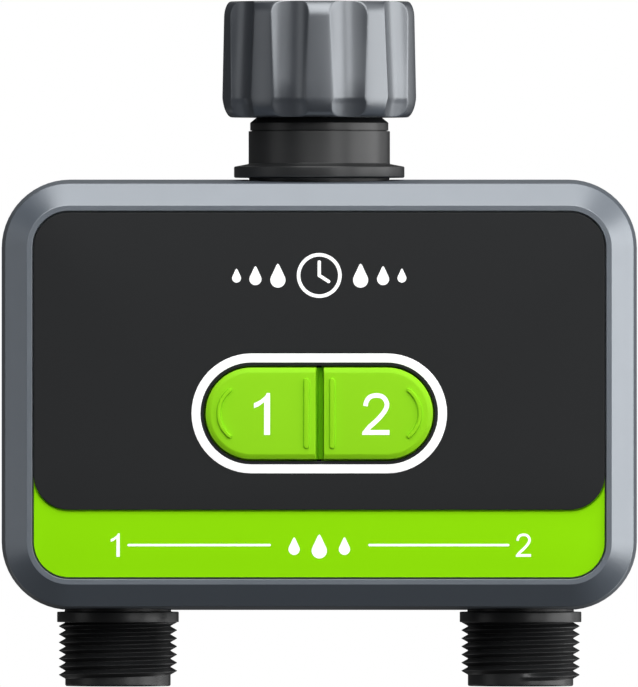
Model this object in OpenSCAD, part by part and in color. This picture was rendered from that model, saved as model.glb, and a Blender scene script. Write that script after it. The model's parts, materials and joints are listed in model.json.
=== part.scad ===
// Two-zone drip irrigation timer that hangs from a garden tap.
// Frame: +Z up, the front faces -Y, and the origin is on the inlet axis, in the plane
// where the end of the tap meets the inlet washer. Millimetres.

/* [Housing] */
// Width of the housing at its parting plane
body_w = 142; // [140:0.5:146]
// Height of the housing
body_h = 96.2; // [96:0.1:100]
// Radius of the housing's four corners
corner_r = 15.3; // [14:0.1:16]
// Depth of the front half, from the port axis to the bezel
front_depth = 30; // [30:0.5:33]
// Depth of the rear half, from the port axis to the back face
back_depth = 28; // [28:0.5:31]
// Wall thickness of both halves
wall = 2.4; // [2:0.1:2.6]

/* [Bezel] */
// How far the side wall leans in from the parting plane to the bezel
draft_inset = 1.05; // [0.5:0.05:1.2]
// Width of the sloping bezel
bevel_w = 4.75; // [4:0.05:5]
// Depth of the sloping bezel
bevel_depth = 3.8; // [3:0.1:4]
// Width of the flat rim inside the bezel
rim_w = 1.1; // [0.8:0.1:1.4]
// Gap between the rim and the fascia plates
fascia_gap = 0.35; // [0.2:0.05:0.5]

/* [Fascia and buttons] */
// Height of the black panel
black_h = 66.5; // [64:0.5:70]
// Length of the pair of buttons
pill_w = 50.6; // [50:0.1:52]
// Height of the pair of buttons
pill_h = 20.4; // [20:0.1:21]
// Gap between the two buttons
button_gap = 1; // [0.6:0.1:2]
// How far a button travels
button_travel = 1.0; // [0.6:0.1:1]
// Width of the white ring round the buttons
ring_w = 2.15; // [1.8:0.05:2.4]

/* [Ports] */
// Distance between the two outlets
outlet_spacing = 90; // [90:0.5:91]
// Major diameter of the pipe thread
thread_d = 26.44; // [26.4:0.01:27]
// Pitch of the pipe thread
thread_pitch = 1.814; // [1.8:0.001:2]
// Outside diameter of the swivel nut
nut_d = 44; // [43:0.5:46]
// Height of the swivel nut
nut_h = 25.9; // [25.5:0.1:26]
// Number of finger flutes round the nut
flute_count = 10; // [8:1:12]
// Length of an outlet below the housing
outlet_len = 17; // [16.5:0.1:18]

/* [Valves] */
// How far a valve plunger lifts
plunger_lift = 3; // [2:0.1:3]
// Outside radius of a valve chamber
chamber_r = 14.6; // [14.2:0.1:14.8]

/* [Batteries] */
// Diameter of one cell
cell_d = 14.3; // [13.8:0.1:14.4]
// Length of one cell
cell_len = 50; // [49:0.1:50.5]
// Number of cells side by side
cell_count = 4; // [4:1:4]

/* [Hidden] */
$fn = 64;
HULL_FN = 48;
EPS = 0.01;
SLIP = 0.08; // radial clearance of a sliding fit

// Heights along the inlet axis
mouth_z = 13;
nut_bottom_z = mouth_z - nut_h;
washer_h = 3;
stem_head_h = 3;
lock_ring_top_z = nut_bottom_z - SLIP;
lock_ring_h = 2.85;
port_top_z = lock_ring_top_z - lock_ring_h - 0.15;
port_h = 7.2;
port_flange_z = -26.4;
port_flange_h = 2.4;
body_top_z = -26.8;
body_mid_z = body_top_z - body_h / 2;
body_bottom_z = body_top_z - body_h;
outlet_flange_z = body_bottom_z - 0.4;
outlet_flange_h = 2.3;
outlet_tip_z = body_bottom_z - outlet_len;
outlet_lead_h = 2;

// Radii of the water path
thread_r = thread_d / 2;
thread_depth = 1.16;
stem_bore_r = 7.5;
stem_neck_r = 10.4;
stem_head_r = 11.8;
lock_ring_r = 15.45;
port_r = 15.9;
port_flange_r = 19.05;
port_neck_r = 15.7;
pipe_r = 10.5;
header_r = 6.5;
header_bore_r = 4.2;
outlet_bore_r = 8;
outlet_neck_r = 11.9;
outlet_flange_r = 13.65;

// Depths through the housing, front to back
rim_y = -front_depth;
bevel_y = rim_y + bevel_depth;
recess_y = rim_y + 2;
front_inner_y = recess_y + wall;
back_y = back_depth;
back_inner_y = back_depth - wall;
zone_face_y = rim_y + 0.9;
panel_face_y = rim_y + 0.15;
button_face_y = rim_y - 1.3;
button_flange_y = front_inner_y + 1.1;
keypad_y = button_flange_y + button_travel + 0.2;
board_front_y = rim_y + 12.4;
board_t = 1.6;

// Fascia
fascia_inset = draft_inset + bevel_w + rim_w + fascia_gap;
fascia_w = body_w - 2 * fascia_inset;
fascia_h = body_h - 2 * fascia_inset;
fascia_r = corner_r - fascia_inset;
pill_z = body_mid_z - 4.1;
pill_clear = 0.4;
button_x = 13;

// Valve chamber heights
header_z = -108;
chamber_floor_z = -117;
rim_z = -99;
seat_z = -104;
rubber_t = 1.6;
bonnet_z = rim_z + rubber_t;
bonnet_top_z = -90;
pilot_z = -97.5;
plunger_top_z = -80;
pole_z = plunger_top_z + plunger_lift + 0.5;
tube_top_z = -62;
tube_r = 5.6;
plunger_r = 4.5;
ear_d = chamber_r + 2.7;
ear_r = 3.2;
screw_r = 1.25;

// Housing screws
boss_r = 4;
boss_x = 64.4;
boss_zs = [body_top_z - 15.2, body_bottom_z + 15];

// Battery bay
cell_pitch = cell_d + 0.8;
bay_w = cell_count * cell_pitch + 1.4;
bay_h = cell_len + 6;
bay_top_z = -38;
bay_mid_z = bay_top_z - bay_h / 2;
bay_wall = 1.5;
bay_floor_y = 12.7;
wire_hole_xs = [15, 21];
cell_y = bay_floor_y + cell_d / 2 + 0.1;
cell_shift = (bay_h - cell_len) / 2 - 0.45;
cover_w = bay_w + 8;
cover_top_z = -34.5;
cover_bottom_z = bay_top_z - bay_h - 3;
cover_t = 2.2;
cover_y = back_y + 0.1;
hinge_y = back_y + 2.7;
knuckle_r = 2.6;
hinge_z = cover_bottom_z - knuckle_r - 0.3;
pin_r = 1.25;
knuckle_x = 24.5;
lug_x = 31.5;
knuckle_w = 7;
lug_w = 5.6;

// ---- Shape helpers -------------------------------------------------------------------------

// A flat outline in X and Z, made solid from y0 to y1.
module slab(y0, y1) {
    translate([0, y1, 0]) rotate([90, 0, 0]) linear_extrude(y1 - y0) children();
}

// A cylinder along Y from y0 to y1, at (x, z).
module rod_y(x, z, r, y0, y1) {
    translate([x, y1, z]) rotate([90, 0, 0]) cylinder(r = r, h = y1 - y0);
}

module rounded_rect(w, h, r) {
    square([w - 2 * r, h], center = true);
    square([w, h - 2 * r], center = true);
    for (x = [-1, 1], z = [-1, 1])
        translate([x * (w / 2 - r), z * (h / 2 - r)]) circle(r);
}

module pill(w, h) {
    square([w - h, h], center = true);
    for (x = [-1, 1]) translate([x * (w - h) / 2, 0]) circle(d = h);
}

// The housing's outline, drawn in by inset.
module body_outline(inset) {
    translate([0, body_mid_z])
        rounded_rect(body_w - 2 * inset, body_h - 2 * inset, corner_r - inset);
}

// A straight-sided loft from one inset outline to another.
module body_loft(y0, inset0, y1, inset1) {
    hull($fn = HULL_FN) {
        slab(y0, y0 + EPS) body_outline(inset0, $fn = HULL_FN);
        slab(y1 - EPS, y1) body_outline(inset1, $fn = HULL_FN);
    }
}

// A ring section from r0 to r1 and z0 to z1.
module tube_z(r0, r1, z0, z1) {
    translate([0, 0, z0]) difference() {
        cylinder(r = r1, h = z1 - z0);
        translate([0, 0, -1]) cylinder(r = r0, h = z1 - z0 + 2);
    }
}

module o_ring(ring_r, cord_r) {
    rotate_extrude() translate([ring_r, 0]) circle(cord_r, $fn = 24);
}

function unit(v) = v / norm(v);

// A round cord along a list of points. The reference direction must never run along the path.
module cord(path, r, sides, ref) {
    n = len(path);
    function tangent(i) = unit(path[min(i + 1, n - 1)] - path[max(i - 1, 0)]);
    function ring(i) = let (t = tangent(i), u = unit(cross(t, ref)), v = cross(t, u))
        [for (k = [0:sides - 1]) path[i] + r * (cos(360 * k / sides) * u + sin(360 * k / sides) * v)];
    points = [for (i = [0:n - 1]) each ring(i)];
    sides_faces = [for (i = [0:n - 2], k = [0:sides - 1], half = [0, 1])
        let (a = i * sides, b = (k + 1) % sides)
        half == 0 ? [a + k, a + b, a + sides + b] : [a + k, a + sides + b, a + sides + k]];
    polyhedron(points, concat(
        [[for (k = [sides - 1:-1:0]) k]],
        sides_faces,
        [[for (k = [0:sides - 1]) (n - 1) * sides + k]]));
}

// A compression spring standing on z0, coned from radius r0 to r1.
module spring(r0, r1, z0, z1, turns, wire_r, steps = 14, sides = 6) {
    n = turns * steps;
    path = [for (i = [0:n]) let (t = i / n, a = 360 * i / steps, r = r0 + (r1 - r0) * t)
        [r * cos(a), r * sin(a), z0 + wire_r + (z1 - z0 - 2 * wire_r) * t]];
    cord(path, wire_r, sides, [0, 0, 1]);
}

// A sagging wire between two points, leaving each along the given direction.
function wire_path(a, da, b, db, steps = 10) = [for (i = [0:steps]) let (t = i / steps, s = 1 - t)
    s * s * s * a + 3 * s * s * t * (a + da) + 3 * s * t * t * (b + db) + t * t * t * b];

module at_zone(zone) {
    translate([(zone == 1 ? -1 : 1) * outlet_spacing / 2, 0, 0]) children();
}

module at_zones() {
    for (zone = [1, 2]) at_zone(zone) children();
}

module at_ears() {
    for (a = [60, 120, 240, 300]) rotate([0, 0, a]) translate([ear_d, 0, 0]) children();
}

// A pan-head screw pointing along -Z, with its head's underside at z = 0.
module pan_screw(shank_r, shank_len, head_r, head_h) {
    difference() {
        union() {
            cylinder(r = head_r, h = head_h);
            translate([0, 0, -shank_len]) cylinder(r = shank_r, h = shank_len + EPS);
        }
        for (a = [0, 90]) rotate([0, 0, a])
            translate([-head_r * 0.6, -shank_r * 0.3, head_h * 0.45])
                cube([head_r * 1.2, shank_r * 0.6, head_h]);
    }
}

// V grooves, one per pitch, cut into or out of a thread wall between z0 and z1.
module thread_grooves(crest_r, root_r, z0, z1) {
    half = thread_pitch * 0.42;
    out = sign(crest_r - root_r) * 0.2;
    for (z = [z0 + half : thread_pitch : z1 - half])
        rotate_extrude() polygon([[crest_r + out, z - half], [root_r, z], [crest_r + out, z + half]]);
}

// ---- Housing -------------------------------------------------------------------------------

// The three round holes for the inlet port and the outlets, cut half from each shell.
module port_holes(clear = 0.2) {
    depth = 20;
    translate([0, 0, body_top_z - depth / 2]) cylinder(r = port_neck_r + clear, h = depth);
    at_zones() translate([0, 0, body_bottom_z - depth / 2]) cylinder(r = outlet_neck_r + clear, h = depth);
}

module keypad_outline(grow) {
    translate([0, pill_z]) pill(pill_w + 2 * grow, pill_h + 2 * grow);
}

keypad_screw_x = 20;
keypad_screw_z = pill_h / 2 + 5.2;
board_w = 100;
board_h = 50;
board_z = -64.5;
board_hole_x = board_w / 2 - 4;
board_hole_z = board_h / 2 - 4;

module at_keypad_screws() {
    for (x = [-1, 1], z = [-1, 1])
        translate([x * keypad_screw_x, 0, pill_z + z * keypad_screw_z]) children();
}

module at_board_holes() {
    for (x = [-1, 1], z = [-1, 1]) translate([x * board_hole_x, 0, board_z + z * board_hole_z]) children();
}

module front_housing() {
    color("slategray") difference() {
        union() {
            difference() {
                union() {
                    body_loft(bevel_y, draft_inset, 0, 0);
                    body_loft(rim_y, draft_inset + bevel_w, bevel_y + EPS, draft_inset);
                }
                body_loft(front_inner_y, wall + draft_inset + 1, 1, wall);
                port_holes();
            }
            for (x = [-boss_x, boss_x], z = boss_zs) rod_y(x, z, boss_r, front_inner_y - 1, 0);
            slab(front_inner_y - EPS, keypad_y) difference() {
                keypad_outline(4.4);
                keypad_outline(1.9);
            }
            at_keypad_screws() rod_y(0, 0, 2.8, front_inner_y - EPS, keypad_y);
            at_board_holes() rod_y(0, 0, 3, front_inner_y - EPS, board_front_y - 0.05);
        }
        slab(rim_y - 1, recess_y) translate([0, body_mid_z])
            rounded_rect(fascia_w + 2 * fascia_gap, fascia_h + 2 * fascia_gap, fascia_r + fascia_gap);
        slab(rim_y - 1, front_inner_y + 1) keypad_outline(pill_clear);
        for (x = [-boss_x, boss_x], z = boss_zs) rod_y(x, z, screw_r + 0.15, -16, 1);
        at_keypad_screws() rod_y(0, 0, 1, front_inner_y - 1, keypad_y + 1);
        at_board_holes() rod_y(0, 0, 1.1, front_inner_y - 1, board_front_y + 1);
    }
}

module bay_box(grow, y0, y1) {
    slab(y0, y1) translate([0, bay_mid_z]) square([bay_w + 2 * grow, bay_h + 2 * grow], center = true);
}

screw_head_y = back_y - 6;

// The hinge pin's bore through lugs and knuckles, with the given radial clearance.
module hinge_bore(clear) {
    len = 2 * lug_x + 20;
    translate([-len / 2, hinge_y, hinge_z]) rotate([0, 90, 0]) cylinder(r = pin_r + clear, h = len);
}

module rear_housing() {
    color("dimgray") difference() {
        union() {
            difference() {
                union() {
                    body_loft(0, 0, back_y - 2.4, draft_inset - 0.1);
                    body_loft(back_y - 2.4 - EPS, draft_inset - 0.1, back_y, draft_inset + 1.7);
                }
                body_loft(-1, wall, back_inner_y, wall + draft_inset + 1);
                port_holes();
            }
            for (x = [-boss_x, boss_x], z = boss_zs) rod_y(x, z, boss_r, 0, back_inner_y + 1);
            bay_box(bay_wall, bay_floor_y - bay_wall, back_inner_y + EPS);
            for (x = [-lug_x, lug_x]) translate([x - lug_w / 2, 0, hinge_z]) {
                translate([0, hinge_y, 0]) rotate([0, 90, 0]) cylinder(r = knuckle_r, h = lug_w);
                translate([0, back_y - 1, -knuckle_r]) cube([lug_w, hinge_y - back_y + 1, 2 * knuckle_r]);
            }
        }
        bay_box(0, bay_floor_y, back_y + 1);
        slab(back_y - 1, back_y + 1) gasket_outline(0.05);
        slab(-1, 0.8) gasket_groove();
        for (x = [-boss_x, boss_x], z = boss_zs) {
            rod_y(x, z, screw_r + 0.3, -1, back_y);
            rod_y(x, z, 2.9, screw_head_y, back_y + 1);
        }
        hinge_bore(0.02);
        for (x = wire_hole_xs) translate([x, bay_floor_y - bay_wall / 2, bay_top_z - 1.4])
            cube([2.4, bay_wall + 1, 2.4], center = true);
    }
}

// The battery cover's seal, grown by g on each side.
module gasket_outline(g) {
    translate([0, bay_mid_z]) difference() {
        rounded_rect(bay_w + 4.6 + 2 * g, bay_h + 4.6 + 2 * g, 2);
        rounded_rect(bay_w + 2.2 - 2 * g, bay_h + 2.2 - 2 * g, 1);
    }
}

// The parting-plane seal's path round the wall.
module gasket_groove(g = 0) {
    difference() {
        body_outline(0.75 + g);
        body_outline(1.75 - g);
    }
}

module housing_gasket() {
    color("black") difference() {
        slab(0.02, 0.78) gasket_groove(0.03);
        port_holes(0.6);
    }
}

module housing_screws() {
    color("silver") for (x = [-boss_x, boss_x], z = boss_zs)
        translate([x, screw_head_y, z]) rotate([-90, 0, 0]) pan_screw(screw_r, 34, 2.7, 2);
}

// ---- Fascia and keypad ---------------------------------------------------------------------

module zone_plate() {
    color("yellowgreen") slab(zone_face_y, recess_y - 0.02) difference() {
        translate([0, body_mid_z]) rounded_rect(fascia_w, fascia_h, fascia_r);
        keypad_outline(pill_clear);
    }
}

module ring_outline(grow) {
    difference() {
        keypad_outline(3.28 + grow);
        keypad_outline(3.28 - ring_w - grow);
    }
}

module front_panel() {
    color("black") difference() {
        slab(panel_face_y, zone_face_y - 0.02) difference() {
            translate([0, body_mid_z + (fascia_h - black_h) / 2])
                rounded_rect(fascia_w, black_h, fascia_r);
            keypad_outline(pill_clear);
        }
        slab(panel_face_y - 1, panel_face_y + 0.4) ring_outline(0.02);
    }
}

module button_ring() {
    color("white") slab(panel_face_y - 0.04, panel_face_y + 0.38) ring_outline(0);
}

// One half of the button pair: side is -1 for the left button and 1 for the right.
module button(side) {
    finger_rib_h = 0.4;
    arc_r = pill_h / 2 - 3;
    module half_outline(grow) {
        intersection() {
            keypad_outline(grow);
            translate([side * (button_gap / 2 + pill_w), pill_z])
                square([2 * pill_w, 3 * pill_h], center = true);
        }
    }
    color("yellowgreen") union() {
        slab(button_face_y, button_face_y + 0.7 + EPS) half_outline(-0.7);
        slab(button_face_y + 0.7, button_flange_y - 1 + EPS) half_outline(0);
        slab(button_flange_y - 1, button_flange_y) half_outline(1.2);
        rod_y(side * button_x, pill_z, 3, button_flange_y - EPS, button_flange_y + 0.3);
        slab(button_face_y - finger_rib_h, button_face_y + EPS) {
            translate([side * 2.85, pill_z]) pill_upright(1.3, 15.6);
            translate([side * (pill_w - pill_h) / 2, pill_z]) intersection() {
                difference() {
                    circle(arc_r + 0.5);
                    circle(arc_r - 0.5);
                }
                translate([side * arc_r * 1.13, 0]) square([arc_r, arc_r * 1.6], center = true);
            }
        }
    }
}

module pill_upright(w, h) {
    rotate(90) pill(h, w);
}

module button_1() {
    button(-1);
}

module button_2() {
    button(1);
}

dome_r = 7.5;
dome_top_r = 4;
key_top_y = button_flange_y + 0.35;
switch_top_y = board_front_y - 4.5;

// A sheet with two domes. Each dome passes a button's push to the switch behind it.
module keypad_seal() {
    sheet_t = 0.9;
    color("dimgray") union() {
        difference() {
            slab(keypad_y + 0.02, keypad_y + sheet_t) keypad_outline(4.4);
            for (x = [-button_x, button_x]) rod_y(x, pill_z, dome_r - 0.3, keypad_y - 1, keypad_y + 2);
        }
        for (x = [-button_x, button_x]) translate([x, 0, pill_z]) rotate([90, 0, 0]) rotate_extrude()
            polygon([
                [0, -key_top_y], [dome_top_r, -key_top_y],
                [dome_r, -keypad_y - 0.02], [dome_r, -keypad_y - sheet_t],
                [dome_r - 0.6, -keypad_y - sheet_t],
                [dome_top_r - 0.5, -key_top_y - 0.8], [2, -key_top_y - 0.8], [2, -switch_top_y + 0.04],
                [0, -switch_top_y + 0.04]
            ]);
    }
}

module keypad_clamp() {
    clamp_t = 1.6;
    y0 = keypad_y + 0.92;
    color("black") difference() {
        union() {
            slab(y0, y0 + clamp_t) keypad_outline(4.4);
            at_keypad_screws() rod_y(0, 0, 2.8, y0, y0 + clamp_t);
        }
        slab(y0 - 1, y0 + clamp_t + 1) keypad_outline(0.6);
        at_keypad_screws() rod_y(0, 0, 1.2, y0 - 1, y0 + clamp_t + 1);
    }
}

module keypad_screws() {
    color("silver") at_keypad_screws() translate([0, keypad_y + 2.54, 0]) rotate([-90, 0, 0])
        pan_screw(0.95, 4, 2, 1.3);
}

// ---- Inlet ---------------------------------------------------------------------------------

module inlet_nut() {
    r = nut_d / 2;
    crest_r = thread_r - thread_depth;
    cutter_r = 6.8;
    cutter_top_d = r + 4.35;
    cutter_bottom_d = r + 5.7;
    lean = atan((cutter_bottom_d - cutter_top_d) / nut_h);
    relief_z = -washer_h - stem_head_h - 0.2;
    color("slategray") difference() {
        rotate_extrude() polygon([
            [stem_neck_r + SLIP, nut_bottom_z], [r - 2.4, nut_bottom_z], [r - 1.4, nut_bottom_z + 0.4],
            [r - 0.7, nut_bottom_z + 1], [r - 0.2, nut_bottom_z + 2.8], [r, nut_bottom_z + 5.4],
            [r - 0.2, mouth_z - 5], [r - 0.3, mouth_z - 2.8], [r - 0.8, mouth_z - 0.9], [r - 1.4, mouth_z],
            [thread_r + 0.3, mouth_z], [crest_r, mouth_z - 1], [crest_r, 0],
            [stem_head_r + 0.5, 0], [stem_head_r + 0.5, relief_z], [stem_neck_r + SLIP, relief_z]
        ]);
        for (k = [0:flute_count - 1]) rotate([0, 0, -90 + (k + 0.5) * 360 / flute_count])
            translate([cutter_bottom_d, 0, nut_bottom_z]) rotate([0, -lean, 0])
                translate([0, 0, -2]) cylinder(r = cutter_r, h = nut_h + 4);
        thread_grooves(crest_r, thread_r, 0.2, mouth_z - 0.9);
        tube_z(15.6, 18.2, nut_bottom_z - 1, 8);
    }
}

module inlet_washer() {
    color("black") tube_z(outlet_bore_r, 11.9, -washer_h, 0);
}

// A domed strainer held in the washer, hanging into the stem.
module filter_screen() {
    dome = 6.6;
    t = 0.35;
    depth = 7;
    color("silver") rotate_extrude() polygon(concat(
        [[outlet_bore_r - 0.02, -0.9], [outlet_bore_r - 0.02, -0.5]],
        [for (a = [0:15:90]) [dome * cos(a), -0.5 - depth * sin(a)]],
        [for (a = [90:-15:0]) [(dome - t) * cos(a) , -0.5 + t - depth * sin(a) - (a == 0 ? t : 0)]],
        [[dome - t, -0.1], [outlet_bore_r - 0.02, -0.1]]
    ));
}

stem_end_z = -32;
stem_ring_z = -24;

module inlet_stem() {
    color("black") difference() {
        union() {
            translate([0, 0, -washer_h - stem_head_h]) cylinder(r = stem_head_r, h = stem_head_h - 0.02);
            translate([0, 0, stem_end_z]) cylinder(r = stem_neck_r, h = -stem_end_z - washer_h - 0.5);
        }
        translate([0, 0, stem_end_z - 1]) cylinder(r = stem_bore_r, h = -stem_end_z + 2);
        tube_z(stem_neck_r - 1.45, stem_neck_r + 1, stem_ring_z - 1, stem_ring_z + 1);
    }
}

module stem_lock_ring() {
    z1 = lock_ring_top_z;
    z0 = z1 - lock_ring_h;
    color("black") rotate_extrude() polygon([
        [stem_neck_r + 0.02, z0], [lock_ring_r, z0], [lock_ring_r, z1 - 1.1], [lock_ring_r - 1.4, z1],
        [stem_neck_r + 0.02, z1]
    ]);
}

module stem_o_ring() {
    color("black") translate([0, 0, stem_ring_z]) o_ring(stem_neck_r - 0.7, 0.72);
}

// The inlet port and the tee that feeds both valves.
header_end_x = outlet_spacing / 2 - chamber_r - 0.4;
header_ring_x = header_end_x - 2.4;

module manifold() {
    bore_floor_z = header_z - header_bore_r;
    color("black") difference() {
        union() {
            rotate_extrude() polygon([
                [0, port_top_z], [port_r, port_top_z], [port_r, port_top_z - port_h],
                [port_flange_r, port_flange_z + port_flange_h], [port_flange_r, port_flange_z],
                [port_neck_r, port_flange_z], [port_neck_r, -30.4], [stem_neck_r + 2, -32.6],
                [stem_neck_r + 2, stem_end_z - 1], [pipe_r, stem_end_z - 3],
                [pipe_r, header_z], [0, header_z]
            ]);
            translate([0, 0, header_z - header_r]) cylinder(r = pipe_r, h = header_r + EPS);
            translate([-header_end_x, 0, header_z]) rotate([0, 90, 0])
                cylinder(r = header_r, h = 2 * header_end_x);
        }
        translate([0, 0, stem_end_z - 0.1]) cylinder(r = stem_neck_r + 0.02, h = 30);
        translate([0, 0, bore_floor_z]) cylinder(r = stem_bore_r, h = stem_end_z - bore_floor_z);
        translate([-header_end_x - 1, 0, header_z]) rotate([0, 90, 0])
            cylinder(r = header_bore_r, h = 2 * header_end_x + 2);
        for (side = [-1, 1]) translate([side * header_ring_x, 0, header_z]) rotate([0, 90, 0])
            tube_z(header_r - 1.4, header_r + 1, -1, 1);
    }
}

module manifold_o_rings() {
    color("black") for (side = [-1, 1]) translate([side * header_ring_x, 0, header_z])
        rotate([0, 90, 0]) o_ring(header_r - 0.68, 0.7);
}

// ---- Valves --------------------------------------------------------------------------------

// Valve chamber, seat and threaded outlet in one moulding. The socket faces the manifold.
module valve_body(zone) {
    inward = zone == 1 ? 1 : -1;
    chamber_in_r = chamber_r - 2.3;
    root_r = thread_r - thread_depth;
    thread_top_z = outlet_flange_z - outlet_flange_h;
    thread_end_z = outlet_tip_z + outlet_lead_h;
    socket_len = 8;
    tip_chamfer = 0.3;
    color("black") at_zone(zone) difference() {
        union() {
            translate([0, 0, chamber_floor_z]) cylinder(r = chamber_r, h = rim_z - chamber_floor_z);
            at_ears() translate([0, 0, rim_z - 5]) cylinder(r = ear_r, h = 5);
            translate([0, 0, thread_end_z]) cylinder(r = thread_r, h = thread_top_z - thread_end_z + EPS);
            translate([0, 0, thread_top_z]) cylinder(r = outlet_flange_r, h = outlet_flange_h);
            translate([0, 0, outlet_flange_z - EPS])
                cylinder(r = outlet_neck_r, h = chamber_floor_z - outlet_flange_z + 1);
            translate([0, 0, outlet_tip_z])
                cylinder(r1 = outlet_neck_r - tip_chamfer, r2 = outlet_neck_r, h = tip_chamfer);
            translate([0, 0, outlet_tip_z + tip_chamfer]) cylinder(r = outlet_neck_r, h = outlet_lead_h);
            translate([inward * (chamber_r - 1.5), 0, header_z]) rotate([0, inward * 90, 0])
                cylinder(r = header_r + 2.3, h = socket_len);
        }
        difference() {
            translate([0, 0, chamber_floor_z + 2.5]) cylinder(r = chamber_in_r, h = rim_z - chamber_floor_z);
            translate([0, 0, chamber_floor_z])
                cylinder(r = outlet_bore_r + 2, h = seat_z - chamber_floor_z);
        }
        translate([0, 0, outlet_tip_z - 1]) cylinder(r = outlet_bore_r, h = rim_z - outlet_tip_z + 2);
        thread_grooves(thread_r, root_r, thread_end_z - 0.4, thread_top_z);
        translate([inward * (chamber_r + 0.2), 0, header_z]) rotate([0, inward * 90, 0])
            cylinder(r = header_r + 0.04, h = socket_len + 1);
        translate([inward * (chamber_in_r - 1), 0, header_z]) rotate([0, inward * 90, 0])
            cylinder(r = header_bore_r, h = 6);
        at_ears() translate([0, 0, rim_z - 6]) cylinder(r = screw_r - 0.25, h = 7);
    }
}

// Rubber diaphragm: a clamped rim, a sloping web and a pad that closes the seat.
module diaphragm(zone) {
    web = 0.8;
    pad_r = outlet_bore_r + 2.2;
    in_r = chamber_r - 2.3;
    color("dimgray") at_zone(zone) rotate_extrude() polygon([
        [2.05, seat_z + 0.02], [pad_r, seat_z + 0.02], [in_r, rim_z - 0.6], [in_r, rim_z + 0.02],
        [chamber_r, rim_z + 0.02], [chamber_r, bonnet_z - 0.02], [in_r - 0.4, bonnet_z - 0.02],
        [in_r - 0.6, rim_z + 0.3], [pad_r - 0.4, seat_z + 2 * web], [2.05, seat_z + 2 * web]
    ]);
}

// The hard disc on the diaphragm's pad, with the pilot nozzle through its middle.
module valve_disc(zone) {
    disc_z = seat_z + 1.65;
    color("white") at_zone(zone) rotate_extrude() polygon([
        [0.8, seat_z - 1], [2, seat_z - 1], [2, disc_z], [9, disc_z], [9, disc_z + 2.4], [3.2, disc_z + 2.4],
        [2, pilot_z], [0.8, pilot_z]
    ]);
}

module disc_spring(zone) {
    color("silver") at_zone(zone) spring(6.6, 6.6, seat_z + 4.1, bonnet_top_z - 2.55, 4, 0.4);
}

module bonnet(zone) {
    in_r = chamber_r - 2.3;
    roof = 2.5;
    color("black") at_zone(zone) difference() {
        union() {
            translate([0, 0, bonnet_z]) cylinder(r = chamber_r, h = bonnet_top_z - bonnet_z);
            at_ears() translate([0, 0, bonnet_z]) cylinder(r = ear_r, h = 2.5);
            translate([0, 0, bonnet_top_z - EPS]) cylinder(r = tube_r, h = tube_top_z - bonnet_top_z);
        }
        translate([0, 0, bonnet_z - 1]) cylinder(r = in_r, h = bonnet_top_z - roof - bonnet_z + 1);
        translate([0, 0, bonnet_top_z - roof - 1])
            cylinder(r = plunger_r + SLIP, h = tube_top_z - bonnet_top_z + roof + 2);
        at_ears() translate([0, 0, bonnet_z - 1]) cylinder(r = screw_r + 0.15, h = 5);
    }
}

module bonnet_screws() {
    color("silver") at_zones() at_ears() translate([0, 0, bonnet_z + 2.52])
        pan_screw(screw_r - 0.3, 8.5, 2.4, 1.6);
}

// The iron plunger, with its sealing tip below and a spring pocket above.
module plunger(zone) {
    color("gray") at_zone(zone) difference() {
        union() {
            translate([0, 0, pilot_z + 0.02]) cylinder(r1 = 2.4, r2 = 3, h = 1.5);
            translate([0, 0, pilot_z + 1.5]) cylinder(r = plunger_r, h = plunger_top_z - pilot_z - 1.5);
        }
        translate([0, 0, plunger_top_z - 6]) cylinder(r = 2.6, h = 7);
    }
}

module plunger_spring(zone) {
    color("silver") at_zone(zone) spring(1.9, 1.9, plunger_top_z - 5.98, pole_z - 0.02, 5, 0.3);
}

module pole_pieces() {
    color("gray") at_zones() translate([0, 0, pole_z])
        cylinder(r = plunger_r + 0.05, h = tube_top_z - pole_z);
}

module latch_magnets() {
    color("silver") at_zones() translate([0, 0, tube_top_z + 0.05]) cylinder(r = 5, h = 3);
}

bobbin_z0 = bonnet_top_z + 2.1;
bobbin_z1 = tube_top_z - 2.1;

module coil_bobbins() {
    color("white") at_zones() {
        tube_z(tube_r + 0.05, tube_r + 1, bobbin_z0, bobbin_z1);
        for (z = [bobbin_z0, bobbin_z1 - 1]) tube_z(tube_r + 0.05, 10.4, z, z + 1);
    }
}

module coil_windings() {
    color("peru") at_zones() tube_z(tube_r + 1.02, 9.6, bobbin_z0 + 1.02, bobbin_z1 - 1.02);
}

// The steel yoke round each coil, bent from one strip.
module solenoid_frames() {
    half_x = 12.8;
    plate = 1.8;
    z0 = bonnet_top_z + 0.15;
    frame_h = tube_top_z - 0.15 - z0;
    color("silver") at_zones() difference() {
        translate([-half_x, -8.5, z0]) cube([2 * half_x, 17, frame_h]);
        translate([-half_x + plate, -10, z0 + plate])
            cube([2 * (half_x - plate), 20, frame_h - 2 * plate]);
        translate([0, 0, bonnet_top_z - 1])
            cylinder(r = tube_r + 0.05, h = tube_top_z - bonnet_top_z + 2);
    }
}

// ---- Electronics ---------------------------------------------------------------------------

module circuit_board() {
    color("darkgreen") difference() {
        slab(board_front_y, board_front_y + board_t)
            translate([0, board_z]) rounded_rect(board_w, board_h, 2);
        at_board_holes() rod_y(0, 0, 1.4, board_front_y - 1, board_front_y + board_t + 1);
    }
}

module on_board(x, z, w, h, t) {
    translate([x - w / 2, board_front_y - t - 0.01, z - h / 2]) cube([w, t, h]);
}

module radio_module() {
    color("silver") {
        on_board(-30, -52, 17, 15, 2.4);
        on_board(-30, -43.2, 17, 2.2, 0.8);
    }
}

module capacitors() {
    cap_r = 3.2;
    color("navy") for (x = [24, 33]) translate([x, board_front_y - cap_r - 0.05, -57.5])
        cylinder(r = cap_r, h = 11);
}

module driver_chips() {
    color("black") {
        for (x = [-34, 34]) on_board(x, -71.5, 5, 4, 1.5);
        on_board(4, -55, 7, 7, 1.2);
    }
}

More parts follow.
